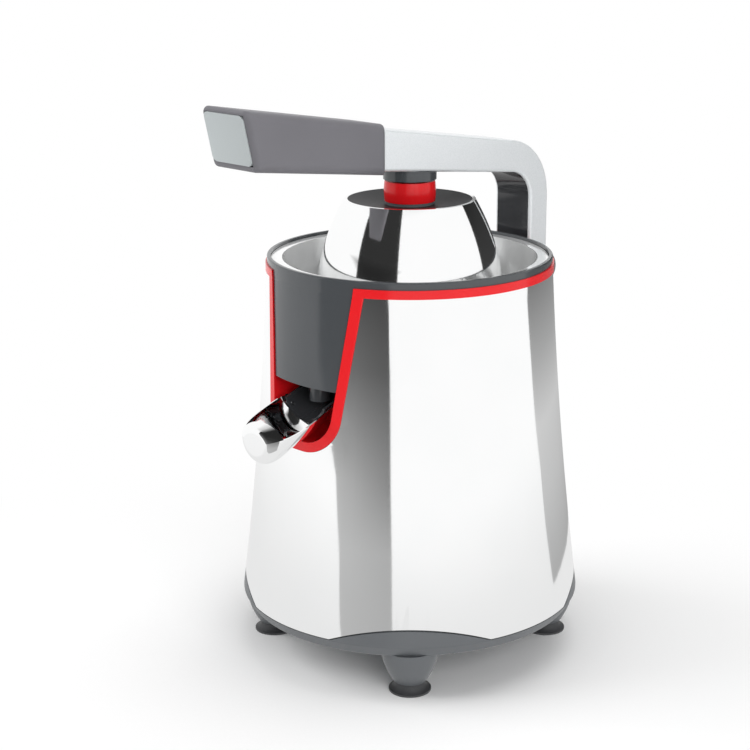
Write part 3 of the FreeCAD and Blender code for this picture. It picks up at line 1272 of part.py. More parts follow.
def make_grip():
    """The soft grip sleeve over the tongue, and the silver plate in its end."""
    sleeve = Piece("grip_sleeve")
    back, end, low_end = -S.arm_front, -GRIP_FRONT, -(GRIP_FRONT - S.grip_rake)
    half = S.grip_width / 2
    sleeve.slab("YZ_Plane", [[(back, grip_under(S.arm_front)),
                              (back, grip_top(S.arm_front), S.grip_edge / 2),
                              (end, grip_top(GRIP_FRONT), S.grip_edge / 2),
                              (low_end, grip_under(GRIP_FRONT - S.grip_rake), S.grip_edge / 2)]],
                (half + S.grip_flare) * 2)
    wedge = sleeve.prism("XY_Plane", [[(half, back), (half + S.grip_flare, end), (half + S.grip_edge, end),
                                       (half + S.grip_edge, back)]], RIM_TOP, grip_top(GRIP_FRONT), cut=True)
    sleeve.mirrored([wedge], "YZ_Plane")
    sleeve.fillet(S.grip_edge, lambda edge: abs(edge.CenterOfMass.x) > half.value / 2)
    inset, gap = S.tongue_inset - S.fit_gap / 3, S.fit_gap / 3
    tip = low_end + S.cap_thickness * 4 - gap
    sleeve.slab("YZ_Plane", [[(tip, grip_under(-tip) + inset), (back, grip_under(S.arm_front) + inset),
                              (back, grip_top(S.arm_front) - inset), (tip, grip_top(-tip) - inset)]],
                (S.tongue_half + gap) * 2, cut=True)
    low = grip_under(GRIP_FRONT - S.grip_rake) + S.cap_margin
    high = grip_top(GRIP_FRONT) - S.cap_margin
    rebate = S.cap_thickness - S.cap_proud
    seat = grip_end(low, high, rebate)[1]
    seat_open = [(seat[0][0] - S.cap_proud * 9, low), (seat[1][0] - S.cap_proud * 9, high)] + seat[2:]
    sleeve.slab("YZ_Plane", [seat_open], S.cap_half * 2, cut=True)
    cap = Piece("grip_cap")
    gap = S.fit_gap / 2
    face, inner = grip_end(low + gap, high - gap, rebate)
    cap.slab("YZ_Plane", [[(face(low + gap) - S.cap_proud, low + gap),
                           (face(high - gap) - S.cap_proud, high - gap)] + inner[2:]],
             (S.cap_half - gap) * 2)
    side = S.cap_half.value - gap.value
    cap.fillet(S.cap_round, lambda edge: abs(abs(edge.CenterOfMass.x) - side) < 0.01
               and edge.Length < 2 * S.cap_thickness.value)
    return sleeve, cap


# Press dome

def make_dome_collar():
    """The dark collar under the arm, cut to the slope of the arm."""
    piece = Piece("dome_collar")
    high = ARM_UNDER + S.collar_radius
    piece.prism("XY_Plane", [circle(0, 0, S.collar_radius), circle(0, 0, STEM_ROOM)], COLLAR_BOTTOM, high)
    ahead, far = S.collar_radius * 2, S.collar_radius * 2
    piece.slab("YZ_Plane", [[(-ahead, arm_under(ahead)), (far, arm_under(-far)), (far, high + far),
                             (-ahead, high + far)]], S.collar_radius * 4, cut=True)


def tilt_pin_length():
    """Length of the dome pin, which ends inside the walls of the arm."""
    return STEM_ROOM * 2 + S.tilt_pin_radius


def make_dome_pin():
    """The pin across the hollow of the arm on which the dome tilts."""
    piece = Piece("dome_pin")
    piece.slab("YZ_Plane", [circle(0, TILT_Z, S.tilt_pin_radius)], tilt_pin_length())


def make_dome_stem():
    """The stem of the dome: flange below the sheet, neck under the ring, and a round eye on the pin."""
    piece = Piece("dome_stem")
    high = DISH_SHEET - S.dome_wall
    low = high - S.liner_thickness
    piece.revolve([[(0, low), (S.stem_flange, low), (S.stem_flange, high), (S.stem_radius, high),
                    (S.stem_radius, DISH), (S.neck_radius, DISH), (S.neck_radius, RING_LOW),
                    (S.stem_radius, RING_LOW), (S.stem_radius, TILT_Z), (0, TILT_Z)]])
    piece.slab("YZ_Plane", [circle(0, TILT_Z, S.stem_radius - S.stem_gap)], S.stem_radius * 1.6)
    piece.slab("YZ_Plane", [circle(0, TILT_Z, S.tilt_pin_radius + S.run_gap)], S.stem_radius * 4, cut=True)


def make_lock_ring():
    """The red ring that locks the dome to its stem."""
    piece = Piece("lock_ring")
    barrel = arc_radius(S.ring_height / 2, S.ring_bulge)
    edge = S.ring_radius - S.ring_bulge
    piece.revolve([[(S.stem_radius, RING_LOW), (edge, RING_LOW), Bend(barrel, -1), (edge, RING_TOP),
                    (S.stem_radius, RING_TOP)]])


def make_dome():
    """Dished dark top plate, steel dome, and the ribbed liner that presses the fruit."""
    wall, neck = S.dome_wall, S.stem_radius
    brim = S.dome_top_radius - wall * 2
    flat = S.neck_radius + wall
    cap = Piece("dome_cap")
    cap.revolve([[(neck, DISH), (flat, DISH), (brim, DOME_TOP), (brim, DOME_TOP - S.cap_plate),
                  (flat, DISH_SHEET), (neck, DISH_SHEET)]])
    top_out, low_out = S.dome_top_radius, S.dome_bottom_radius
    curve = slant_arc(low_out - top_out, S.dome_height, S.dome_bulge)
    top_in, low_in = top_out - wall, low_out - wall
    under = DISH_SHEET - wall
    shoulder = DOME_TOP - S.cap_plate - wall
    dome = Piece("press_dome")
    dome.revolve([[(neck, DISH_SHEET), (neck, under), (flat, under), (brim, shoulder), (top_in, shoulder),
                   Bend(curve, 1), (low_in, DOME_LOW), (low_out, DOME_LOW), Bend(curve, -1),
                   (top_out, DOME_TOP), (brim, DOME_TOP), (brim, DOME_TOP - S.cap_plate),
                   (flat, DISH_SHEET)]])
    liner = Piece("dome_liner")
    face = top_in - wall - S.fit_gap
    reach = S.stem_flange + S.fit_gap
    thick, low = S.liner_thickness, under - S.liner_height
    step = (S.dome_bottom_radius - S.dome_top_radius) * S.liner_height / S.dome_height
    wide = face + step
    hem = slant_arc(step, S.liner_height, S.dome_bulge / 2)
    liner.revolve([[(reach, under), (reach, under - thick), (face - thick, under - thick), Bend(hem, 1),
                    (wide - thick, low), (wide, low), Bend(hem, -1), (face, under)]])
    high, deep = under - thick / 2, S.grip_rib_depth
    inner, crest = reach + thick, face - thick - deep
    edge = under - thick - deep
    rib = liner.slab("XZ_Plane", [[(inner, high), (inner, edge), (crest, edge), Bend(hem, 1),
                                   (wide - thick - deep / 2, low), (wide - thick / 2, low), Bend(hem, -1),
                                   (face - thick / 2, high)]], deep)
    liner.around([rib], S.grip_rib_count)


# Spout

def scoop(half, depth, roof, z):
    """Cross section of the spout: a deep arc below its rim and a flatter roof arc above."""
    return [(-half, z), Bend(arc_radius(half, depth), -1), (half, z), Bend(arc_radius(half, roof), -1)]


def spout_sections(piece, thin):
    """Sketches of the spout from its rear edge to the front of its nose, made smaller by thin."""
    roof = S.spout_roof - thin
    rows = [(size(0), S.spout_back_half, S.spout_back_depth),
            (S.spout_flare_at, S.spout_flare_half, S.spout_flare_depth),
            (S.spout_throat_at, S.spout_throat_half, S.spout_flare_depth),
            (S.spout_arch_at, S.spout_arch_half, S.spout_arch_depth),
            (S.spout_length - thin * 3, S.spout_nose_half, S.spout_nose_depth)]
    return [piece.sketch("XZ_Plane", [scoop(half - thin, depth - thin, roof, spout_rim(ahead))],
                         (0, 0, SPOUT_START + ahead)) for ahead, half, depth in rows]


def make_pour_spout():
    """The steel spout: an open funnel that closes into a short round nose whose mouth looks down."""
    piece = Piece("pour_spout")
    piece.loft(spout_sections(piece, size(0)), smooth=True)
    piece.fillet(S.spout_nose_round, lambda edge: abs(edge.CenterOfMass.y + SPOUT_TIP.value) < 0.01)
    piece.loft(spout_sections(piece, S.spout_wall), cut=True, smooth=True)
    start, arch = SPOUT_START, SPOUT_START + S.spout_arch_at
    high = SPOUT_RIM + S.spout_roof * 3
    piece.slab("YZ_Plane", [[(-start + S.chute_lap, spout_rim(-S.chute_lap)),
                             (-arch, spout_rim(S.spout_arch_at)), (-arch, high),
                             (-start + S.chute_lap, high)]], S.spout_back_half * 4, cut=True)
    rim = spout_rim(S.spout_length)
    mouth_y = -SPOUT_TIP + S.spout_mouth + S.spout_nose_round
    piece.prism("XY_Plane", [circle(0, mouth_y, S.spout_mouth)], rim - S.spout_nose_depth * 2,
                rim - S.spout_wall, cut=True)
    pin = circle(-start - S.spout_pin_at, spout_rim(S.spout_pin_at) - S.spout_pin_drop,
                 S.spout_pin_radius + S.run_gap)
    piece.slab("YZ_Plane", [pin], S.spout_back_half * 4, cut=True)


def trough(half, depth, z):
    """Cross section of a trough that is open above."""
    return [(-half, z), Bend(arc_radius(half, depth), -1), (half, z)]


def make_spout_chute():
    """The black trough under the nozzle, whose front end lies inside the spout."""
    piece = Piece("spout_chute")
    inset = S.spout_wall + S.chute_gap
    half, depth = S.spout_back_half - inset - S.chute_lap / 4, S.spout_back_depth - inset - S.chute_lap / 4
    back = S.pocket_back - SPOUT_START

    def section(ahead, thin):
        return piece.sketch("XZ_Plane", [trough(half - thin, depth - thin, spout_rim(ahead))],
                            (0, 0, SPOUT_START + ahead))

    piece.loft([section(back, size(0)), section(S.chute_lap, size(0))])
    piece.loft([section(back + S.chute_end, S.chute_wall), section(S.chute_lap, S.chute_wall)], cut=True)
    pin_z = spout_rim(S.spout_pin_at) - S.spout_pin_drop
    pin = circle(-SPOUT_START - S.spout_pin_at, pin_z, S.spout_pin_radius)
    piece.slab("YZ_Plane", [pin], S.spout_back_half * 4, cut=True)


def make_spout_pins():
    """Two stub pins through the sides of chute and spout, flush with the outside of the spout."""
    piece = Piece("spout_pins", several=True)
    y, z = -SPOUT_START - S.spout_pin_at, spout_rim(S.spout_pin_at) - S.spout_pin_drop
    bend = arc_radius(S.spout_back_half, S.spout_back_depth)
    above = bend - S.spout_back_depth + S.spout_pin_drop
    outer = root(bend * bend - above * above)
    inner = S.spout_back_half - S.spout_wall - S.chute_gap - S.chute_wall - S.chute_lap
    piece.prism("YZ_Plane", [circle(y, z, S.spout_pin_radius)], inner, outer)
    piece.prism("YZ_Plane", [circle(y, z, S.spout_pin_radius)], -outer, -inner)


def make_everything():
    """Build every sub-part, from the feet up."""
    make_suction_feet()
    make_base_tray()
    make_tie_bolts()
    make_outer_shell()
    make_cord_gland()
    make_trim_liner()
    make_juice_bowl()
    make_strainer()
    make_juicing_cone()
    make_drive_shaft()
    make_shaft_seal()
    make_shaft_bushes()
    make_gear_cover()
    make_gear_plate()
    make_gear_bridge()
    make_gear_screws()
    make_gears()
    make_idler_axle()
    make_press_plate()
    make_return_spring()
    make_start_switch()
    make_switch_plunger()
    make_motor()
    make_motor_screws()
    make_hinge_bracket()
    make_bracket_screws()
    make_lever_pin()
    make_lever_bushes()
    make_lever_arm()
    make_arm_cover()
    make_grip()
    make_dome_collar()
    make_dome_pin()
    make_dome_stem()
    make_lock_ring()
    make_dome()
    make_spout_chute()
    make_pour_spout()
    make_spout_pins()


def check_document():
    """Stop where an object failed or a sub-part has no valid solid."""
    doc.recompute()
    for thing in doc.Objects:
        if "Invalid" in thing.State or "Error" in thing.State:
            raise RuntimeError(f"{thing.Label}: {thing.State}")
    for piece in PIECES:
        shape = piece.Shape
        if shape.isNull() or not shape.isValid() or not shape.Solids:
            raise RuntimeError(f"{piece.Label}: no valid solid")


def write_parts():
    """Write each sub-part under its own name."""
    os.makedirs("parts", exist_ok=True)
    for piece in PIECES:
        piece.Shape.exportStep(f"parts/{piece.Label}.step")
        print(f"{piece.Label}: {len(piece.Shape.Solids)} solids, {piece.Shape.Volume / 1000:.2f} cm3")


make_everything()
check_document()
write_parts()
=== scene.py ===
"""Finishes, studio and camera for a lever citrus press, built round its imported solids."""

import json
import math

import bpy
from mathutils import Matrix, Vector

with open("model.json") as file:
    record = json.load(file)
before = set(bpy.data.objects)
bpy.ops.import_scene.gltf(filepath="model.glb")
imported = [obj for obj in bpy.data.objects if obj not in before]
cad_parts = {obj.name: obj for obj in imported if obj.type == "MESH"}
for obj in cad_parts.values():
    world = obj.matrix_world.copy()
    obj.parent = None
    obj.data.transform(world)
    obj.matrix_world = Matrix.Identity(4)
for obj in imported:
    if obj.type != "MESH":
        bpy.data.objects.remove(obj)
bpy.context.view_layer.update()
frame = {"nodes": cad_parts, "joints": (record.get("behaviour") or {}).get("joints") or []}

MM = 0.001


def linear(code):
    """An sRGB hex colour as linear RGBA."""
    parts = [int(code[i:i + 2], 16) / 255 for i in (1, 3, 5)]
    return [p / 12.92 if p <= 0.04045 else ((p + 0.055) / 1.055) ** 2.4 for p in parts] + [1.0]


def add(tree, kind, inputs=None, **settings):
    """A new node with its settings, and its inputs set to a value or linked to an output."""
    node = tree.nodes.new(kind)
    for name, value in settings.items():
        setattr(node, name, value)
    for name, value in (inputs or {}).items():
        if isinstance(value, bpy.types.NodeSocket):
            tree.links.new(value, node.inputs[name])
        else:
            node.inputs[name].default_value = value
    return node


def material(name, **constants):
    """A new material with constants on its shader's sockets, its node tree, and its place in millimetres."""
    made = bpy.data.materials.new(name)
    made.use_nodes = True
    tree = made.node_tree
    shader = tree.nodes["Principled BSDF"]
    for socket, value in constants.items():
        shader.inputs[socket.replace("_", " ")].default_value = value
    metres = add(tree, "ShaderNodeTexCoord").outputs["Object"]
    place = add(tree, "ShaderNodeVectorMath", {0: metres, "Scale": 1 / MM}, operation="SCALE").outputs[0]
    return made, tree, place


def grain(tree, place, size, detail=2.0, stretch=(1, 1, 1)):
    """A soft pattern with grains size millimetres across, drawn out along the axes by stretch."""
    drawn = add(tree, "ShaderNodeVectorMath", {0: place, 1: [1 / s for s in stretch]}, operation="MULTIPLY")
    noise = add(tree, "ShaderNodeTexNoise", {"Vector": drawn.outputs[0], "Scale": 1 / size, "Detail": detail})
    return noise.outputs["Fac"]


def speckle(tree, place, size):
    """A pattern of cells size millimetres across, each with a level of its own."""
    cells = add(tree, "ShaderNodeTexVoronoi", {"Vector": place, "Scale": 1 / size})
    return add(tree, "ShaderNodeSeparateColor", {"Color": cells.outputs["Color"]}).outputs["Red"]


def dress(tree, colour, roughness, relief=None):
    """Makes the shader's colour, roughness and relief follow patterns that run from 0 to 1.

    colour and roughness each hold a pattern and the values at its two ends. relief holds a pattern and its
    depth in millimetres.
    """
    shader = tree.nodes["Principled BSDF"]
    pattern, low, high = colour
    tint = add(tree, "ShaderNodeMix", {"Factor": pattern, "A": linear(low), "B": linear(high)},
               data_type="RGBA")
    tree.links.new(tint.outputs["Result"], shader.inputs["Base Color"])
    pattern, low, high = roughness
    gloss = add(tree, "ShaderNodeMapRange", {"Value": pattern, "To Min": low, "To Max": high})
    tree.links.new(gloss.outputs["Result"], shader.inputs["Roughness"])
    if relief:
        pattern, depth = relief
        bump = add(tree, "ShaderNodeBump", {"Height": pattern, "Distance": depth * MM, "Strength": 1.0})
        tree.links.new(bump.outputs["Normal"], shader.inputs["Normal"])


def polished_stainless():
    """Stainless sheet, deep drawn and wheel polished: a mirror with faint lines round it.

    The lines of a polishing wheel are a few hundredths of a millimetre, so they are drawn at 1.1 mm to show.
    """
    made, tree, place = material("polished_stainless", Metallic=1.0)
    lines = grain(tree, place, size=1.1, detail=3.0, stretch=(40, 40, 1))
    smears = grain(tree, place, size=35.0)
    dress(tree, (smears, "#fefefe", "#f9fafa"), (lines, 0.045, 0.10), (lines, 0.002))
    return made


def pressed_stainless():
    """Thin stainless, pressed to a basket: bright, a little softer where the tool stretched it.

    Its wall stands in a narrow gap beside the dome and sees little of the white studio, so Metallic is under
    1 to keep it as pale as the polished sheet.
    """
    made, tree, place = material("pressed_stainless", Metallic=0.6)
    draw = grain(tree, place, size=9.0, detail=3.0, stretch=(1, 1, 3))
    dress(tree, (draw, "#ffffff", "#f9fafa"), (draw, 0.09, 0.14), (draw, 0.001))
    return made


def polished_grey_abs():
    """ABS moulded in a polished tool, dark grey: clear reflections that a slight orange peel breaks up."""
    made, tree, place = material("polished_grey_abs", IOR=1.54)
    peel = grain(tree, place, size=4.0, detail=1.0)
    flow = grain(tree, place, size=45.0, stretch=(1, 1, 2))
    dress(tree, (flow, "#404346", "#4a4d50"), (peel, 0.13, 0.20), (peel, 0.006))
    return made


def satin_grey_abs():
    """ABS moulded in a spark eroded tool, dark grey: satin, with a fine grain.

    The grain of such tools is about 0.15 mm, drawn at 0.7 mm to show.
    """
    made, tree, place = material("satin_grey_abs", IOR=1.54)
    sparks = grain(tree, place, size=0.7)
    flow = grain(tree, place, size=40.0)
    dress(tree, (flow, "#56595c", "#616467"), (sparks, 0.34, 0.50), (sparks, 0.02))
    return made


def soft_touch_grip():
    """Rubberised paint on the moulded grip: matt warm grey with a dusty sheen and a faint grain.

    The grain is finer than 0.1 mm, drawn at 0.8 mm to show.
    """
    made, tree, place = material("soft_touch_grip", IOR=1.5, Sheen_Weight=0.06, Sheen_Roughness=0.5)
    skin = grain(tree, place, size=0.8)
    wear = grain(tree, place, size=30.0, detail=3.0)
    dress(tree, (wear, "#67666b", "#706f74"), (skin, 0.44, 0.58), (skin, 0.02))
    return made


def red_abs():
    """ABS moulded in a polished tool, signal red: deep gloss with a slight orange peel."""
    made, tree, place = material("red_abs", IOR=1.54, Specular_IOR_Level=0.35)
    peel = grain(tree, place, size=4.0, detail=1.0)
    flow = grain(tree, place, size=50.0)
    dress(tree, (flow, "#dc161d", "#e41c22"), (peel, 0.16, 0.24), (peel, 0.005))
    return made


def silver_lacquer():
    """Die cast aluminium under silver lacquer: pale, even, with fine flakes that glint.

    Flakes are some 0.03 mm, drawn at 0.5 mm to show.
    """
    made, tree, place = material("silver_lacquer", Metallic=0.25, Coat_Weight=0.35, Coat_Roughness=0.18)
    flakes = speckle(tree, place, size=0.5)
    peel = grain(tree, place, size=5.0, detail=1.0)
    dress(tree, (flakes, "#dde1e3", "#e6e9eb"), (flakes, 0.34, 0.48), (peel, 0.006))
    return made


def satin_aluminium():
    """Aluminium plate, bead blasted and anodised: an even pale grey with a fine matt grain.

    The blast marks are about 0.1 mm, drawn at 0.6 mm to show.
    """
    made, tree, place = material("satin_aluminium", Metallic=0.55)
    beads = grain(tree, place, size=0.6)
    dress(tree, (beads, "#c3cacb", "#cdd3d4"), (beads, 0.42, 0.56), (beads, 0.012))
    return made


def black_abs():
    """ABS moulded in a polished tool, black: a dark mirror with faint hairlines from wiping.

    Hairlines are some 0.05 mm wide, drawn at 0.6 mm to show.
    """
    made, tree, place = material("black_abs", IOR=1.54)
    hairlines = grain(tree, place, size=0.6, stretch=(1, 30, 1))
    flow = grain(tree, place, size=40.0)
    dress(tree, (flow, "#2b2c2e", "#333437"), (hairlines, 0.07, 0.14))
    return made


def charcoal_abs():
    """ABS moulded in a spark eroded tool, charcoal: half matt, with a fine grain drawn at 0.7 mm to show."""
    made, tree, place = material("charcoal_abs", IOR=1.54, Specular_IOR_Level=0.12)
    sparks = grain(tree, place, size=0.7)
    flow = grain(tree, place, size=30.0)
    dress(tree, (flow, "#17181a", "#1e1f21"), (sparks, 0.42, 0.55), (sparks, 0.012))
    return made


def grey_rubber():
    """Moulded rubber, dark grey: dull, with bloom that lightens it in patches.

    The skin's grain is about 0.2 mm, drawn at 0.9 mm to show.
    """
    made, tree, place = material("grey_rubber", IOR=1.52)
    bloom = grain(tree, place, size=12.0, detail=3.0)
    skin = grain(tree, place, size=0.9)
    dress(tree, (bloom, "#303133", "#3d3e40"), (bloom, 0.48, 0.66), (skin, 0.02))
    return made


def pale_polypropylene():
    """Moulded polypropylene, off white: waxy, a little light passes through thin ribs."""
    made, tree, place = material("pale_polypropylene", IOR=1.49, Subsurface_Weight=0.12,
                                 Subsurface_Scale=2 * MM)
    flow = grain(tree, place, size=25.0, detail=3.0)
    peel = grain(tree, place, size=3.0, detail=1.0)
    dress(tree, (flow, "#dddcd6", "#e6e5e0"), (flow, 0.30, 0.42), (peel, 0.008))
    return made


def natural_nylon():
    """Cast nylon, undyed cream: waxy, with faint flow marks."""
    made, tree, place = material("natural_nylon", IOR=1.53, Subsurface_Weight=0.08,
                                 Subsurface_Scale=1.5 * MM)
    flow = grain(tree, place, size=14.0, detail=3.0)
    peel = grain(tree, place, size=2.0, detail=1.0)
    dress(tree, (flow, "#d5cfbd", "#e0dbcb"), (flow, 0.34, 0.46), (peel, 0.008))
    return made


def ground_steel():
    """Steel bar and wire, ground: bright, with fine rings round it drawn at 0.5 mm to show."""
    made, tree, place = material("ground_steel", Metallic=1.0)
    rings = grain(tree, place, size=0.5, stretch=(12, 12, 1))
    dress(tree, (rings, "#c4c6c8", "#d2d4d6"), (rings, 0.16, 0.28), (rings, 0.004))
    return made


def zinc_plated_steel():
    """Pressed steel, zinc plated: dull silver with a faint mottle of crystals about 3 mm across."""
    made, tree, place = material("zinc_plated_steel", Metallic=1.0)
    mottle = speckle(tree, place, size=3.0)
    skin = grain(tree, place, size=1.5)
    dress(tree, (mottle, "#a9acaf", "#b8babd"), (mottle, 0.26, 0.40), (skin, 0.004))
    return made


def sintered_bronze():
    """Sintered bronze: brown gold and porous, with pores drawn at 0.4 mm to show."""
    made, tree, place = material("sintered_bronze", Metallic=1.0)
    pores = grain(tree, place, size=0.4)
    dress(tree, (pores, "#8d6a3c", "#b08a52"), (pores, 0.32, 0.50), (pores, 0.01))
    return made


def laminated_iron():
    """Stacked iron sheets, half a millimetre each and varnished: dark, with fine level lines.

    A wave texture of scale 1 turns through 20 radians in a unit of length.
    """
    made, tree, place = material("laminated_iron", Metallic=0.8)
    sheet_thickness, turn_rate = 0.5, 20
    sheets = add(tree, "ShaderNodeTexWave",
                 {"Vector": place, "Scale": 2 * math.pi / turn_rate / sheet_thickness},
                 bands_direction="Z").outputs["Fac"]
    dress(tree, (sheets, "#3b3a3a", "#5a5756"), (sheets, 0.38, 0.52), (sheets, 0.02))
    return made


FINISHES = {
    polished_stainless: ["outer_shell", "press_dome", "pour_spout"],
    pressed_stainless: ["strainer"],
    polished_grey_abs: ["juice_bowl", "dome_collar"],
    satin_grey_abs: ["base_tray", "hinge_bracket", "dome_stem"],
    soft_touch_grip: ["grip_sleeve"],
    red_abs: ["trim_liner", "lock_ring"],
    silver_lacquer: ["lever_arm"],
    satin_aluminium: ["grip_cap"],
    black_abs: ["arm_cover", "spout_chute", "start_switch"],
    charcoal_abs: ["dome_cap"],
    grey_rubber: ["suction_feet", "cord_gland", "shaft_seal"],
    pale_polypropylene: ["juicing_cone", "dome_liner", "switch_plunger"],
    natural_nylon: ["gear_cover", "output_gear", "idler_gear"],
    ground_steel: ["drive_shaft", "idler_axle", "motor_shaft", "lever_pin", "dome_pin", "spout_pins",
                   "return_spring"],
    zinc_plated_steel: ["bracket_screws", "gear_plate", "gear_bridge", "gear_screws", "motor_can",
                        "motor_screws", "press_plate", "tie_bolts"],
    sintered_bronze: ["lever_bushes", "shaft_bushes", "motor_bearings", "motor_pinion"],
    laminated_iron: ["motor_stator", "motor_rotor"],
}

SHARP_ANGLE = math.radians(28)


def finish_solids():
    """Gives every solid its material, with smooth shading across shallow edges."""
    for finish, names in FINISHES.items():
        made = finish()
        for name in names:
            mesh = frame["nodes"][name].data
            mesh.materials.clear()
            mesh.materials.append(made)
            mesh.shade_smooth()
            mesh.set_sharp_from_angle(angle=SHARP_ANGLE)


# The studio, in metres. The upright drive axis is the middle of the body, the bowl and the dome.
AXIS_Y = next(joint["pos_m"][1] for joint in frame["joints"] if joint["name"] == "cone_spin")
FLOOR_RADIUS = 4.0
FLOOR_SIDES = 64
# Distances from the middle, over which the floor's shadow fades and its glow in metal rises to full.
FADE_START, FADE_END = 0.10, 0.38
DUSK_START, DUSK_END, DUSK_LEVEL = 0.20, 0.80, 0.82


def ray_kinds(tree):
    """Two factors: 1 for rays from the camera, and 1 for rays that metal or glass sends on."""
    path = add(tree, "ShaderNodeLightPath").outputs
    mirrored = add(tree, "ShaderNodeMath", {0: path["Is Glossy Ray"], 1: path["Is Transmission Ray"]},
                   operation="MAXIMUM")
    return path["Is Camera Ray"], mirrored.outputs[0]


def white_paper():
    """Matt white paper with faint fibres, which takes the shadow near the press and fades to plain white.

    Metal sees it as a plain glow that is dimmer near the press: painted shade where the press shades the
    floor.
    """
    made, tree, place = material("white_paper", Roughness=0.9, Specular_IOR_Level=0.0)
    shader = tree.nodes["Principled BSDF"]
    fibres = grain(tree, place, size=1.5)
    tint = add(tree, "ShaderNodeMix", {"Factor": fibres, "A": linear("#f4f4f4"), "B": linear("#f8f8f8")},
               data_type="RGBA")
    tree.links.new(tint.outputs["Result"], shader.inputs["Base Color"])
    reach = add(tree, "ShaderNodeVectorMath", {0: place}, operation="LENGTH").outputs["Value"]
    fade = add(tree, "ShaderNodeMapRange",
               {"Value": reach, "From Min": FADE_START / MM, "From Max": FADE_END / MM},
               interpolation_type="SMOOTHSTEP").outputs["Result"]
    # Painted shade in metal: the floor's glow is dimmer near the press, down to DUSK_LEVEL.
    dusk = add(tree, "ShaderNodeMapRange",
               {"Value": reach, "From Min": DUSK_START / MM, "From Max": DUSK_END / MM, "To Min": DUSK_LEVEL},
               interpolation_type="SMOOTHSTEP").outputs["Result"]
    direct, mirrored = ray_kinds(tree)
    faded = add(tree, "ShaderNodeMath", {0: direct, 1: fade}, operation="MULTIPLY").outputs[0]
    seen = add(tree, "ShaderNodeMath", {0: mirrored, 1: faded}, operation="MAXIMUM").outputs[0]
    level = add(tree, "ShaderNodeMapRange", {"Value": mirrored, "To Min": 1.0, "To Max": dusk})
    glow = add(tree, "ShaderNodeEmission", {"Strength": level.outputs["Result"]})
    mix = add(tree, "ShaderNodeMixShader", {0: seen, 1: shader.outputs[0], 2: glow.outputs[0]})
    tree.links.new(mix.outputs[0], tree.nodes["Material Output"].inputs["Surface"])
    return made


def lay_floor():
    """A round paper floor, whose white runs on into the white of the studio."""
    turns = [2 * math.pi * side / FLOOR_SIDES for side in range(FLOOR_SIDES)]
    ring = [(FLOOR_RADIUS * math.cos(turn), FLOOR_RADIUS * math.sin(turn), 0) for turn in turns]
    mesh = bpy.data.meshes.new("paper_floor")
    mesh.from_pydata(ring, [], [list(range(FLOOR_SIDES))])
    mesh.materials.append(white_paper())
    floor = bpy.data.objects.new("paper_floor", mesh)
    bpy.context.collection.objects.link(floor)


# The studio's strength as a light. In metal it dims where a ray's upward part passes DIM_RISE, down to
# OVERHEAD_LEVEL straight up.
ROOM_LIGHT = 0.46
DIM_RISE, OVERHEAD_LEVEL = 0.70, 0.45


def fill_world():
    """A white studio, at full strength for the eye, dimmer overhead for metal, and softer as a light."""
    world = bpy.data.worlds.new("white_studio")
    bpy.context.scene.world = world
    world.use_nodes = True
    tree = world.node_tree
    sky = tree.nodes["Background"]
    sky.inputs["Color"].default_value = (1, 1, 1, 1)
    direct, mirrored = ray_kinds(tree)
    seen = add(tree, "ShaderNodeMath", {0: direct, 1: mirrored}, operation="MAXIMUM").outputs[0]
    way = add(tree, "ShaderNodeTexCoord").outputs["Generated"]
    rise = add(tree, "ShaderNodeSeparateXYZ", {"Vector": way}).outputs["Z"]
    dim = add(tree, "ShaderNodeMapRange",
              {"Value": rise, "From Min": DIM_RISE, "To Min": 1.0, "To Max": OVERHEAD_LEVEL})
    full = add(tree, "ShaderNodeMapRange",
               {"Value": mirrored, "To Min": 1.0, "To Max": dim.outputs["Result"]})
    level = add(tree, "ShaderNodeMapRange",
                {"Value": seen, "To Min": ROOM_LIGHT, "To Max": full.outputs["Result"]})
    tree.links.new(level.outputs["Result"], sky.inputs["Strength"])


SOFT_BOX_WIDTH = 1.4


def hang_lamp(name, at, aim, watts):
    """A square soft box at a place, turned to what it lights. It doesn't show in the metal."""
    lamp = bpy.data.lights.new(name, "AREA")
    lamp.shape = "SQUARE"
    lamp.size = SOFT_BOX_WIDTH
    lamp.energy = watts
    thing = bpy.data.objects.new(name, lamp)
    thing.location = at
    thing.rotation_euler = (Vector(aim) - Vector(at)).to_track_quat("-Z", "Y").to_euler()
    thing.visible_glossy = False
    bpy.context.collection.objects.link(thing)


CARD_RADIUS = 0.25
CARD_COLUMNS = 16
FLAG_GREY = 0.02
# Each row of a card is a height in mm, the azimuths of its left and right ends in degrees, 0 at the front
# and 90 on the right, and the greys of those ends. Both cards are near black above the rim of the press.
FRONT_CARD = [
    (0, 9, 36, 0.47, 0.43), (60, 4, 35, 0.52, 0.42), (100, 0, 34, 0.47, 0.25), (165, -17, 33, 0.20, 0.10),
    (215, -19, 31, 0.09, 0.06), (272, -19, 31, 0.03, 0.03), (402, -26, 31, 0.03, 0.03),
    (1000, -27, 31, 0.03, 0.03),
]
REAR_CARD = [
    (0, 141, 196, 0.41, 0.40), (60, 139, 196, 0.56, 0.50), (105, 137, 196, 0.62, 0.55),
    (150, 136, 196, 0.40, 0.36), (190, 134, 196, 0.24, 0.24), (230, 139, 190, 0.05, 0.04),
    (370, 147, 178, 0.02, 0.02), (1000, 147, 178, 0.02, 0.02),
]


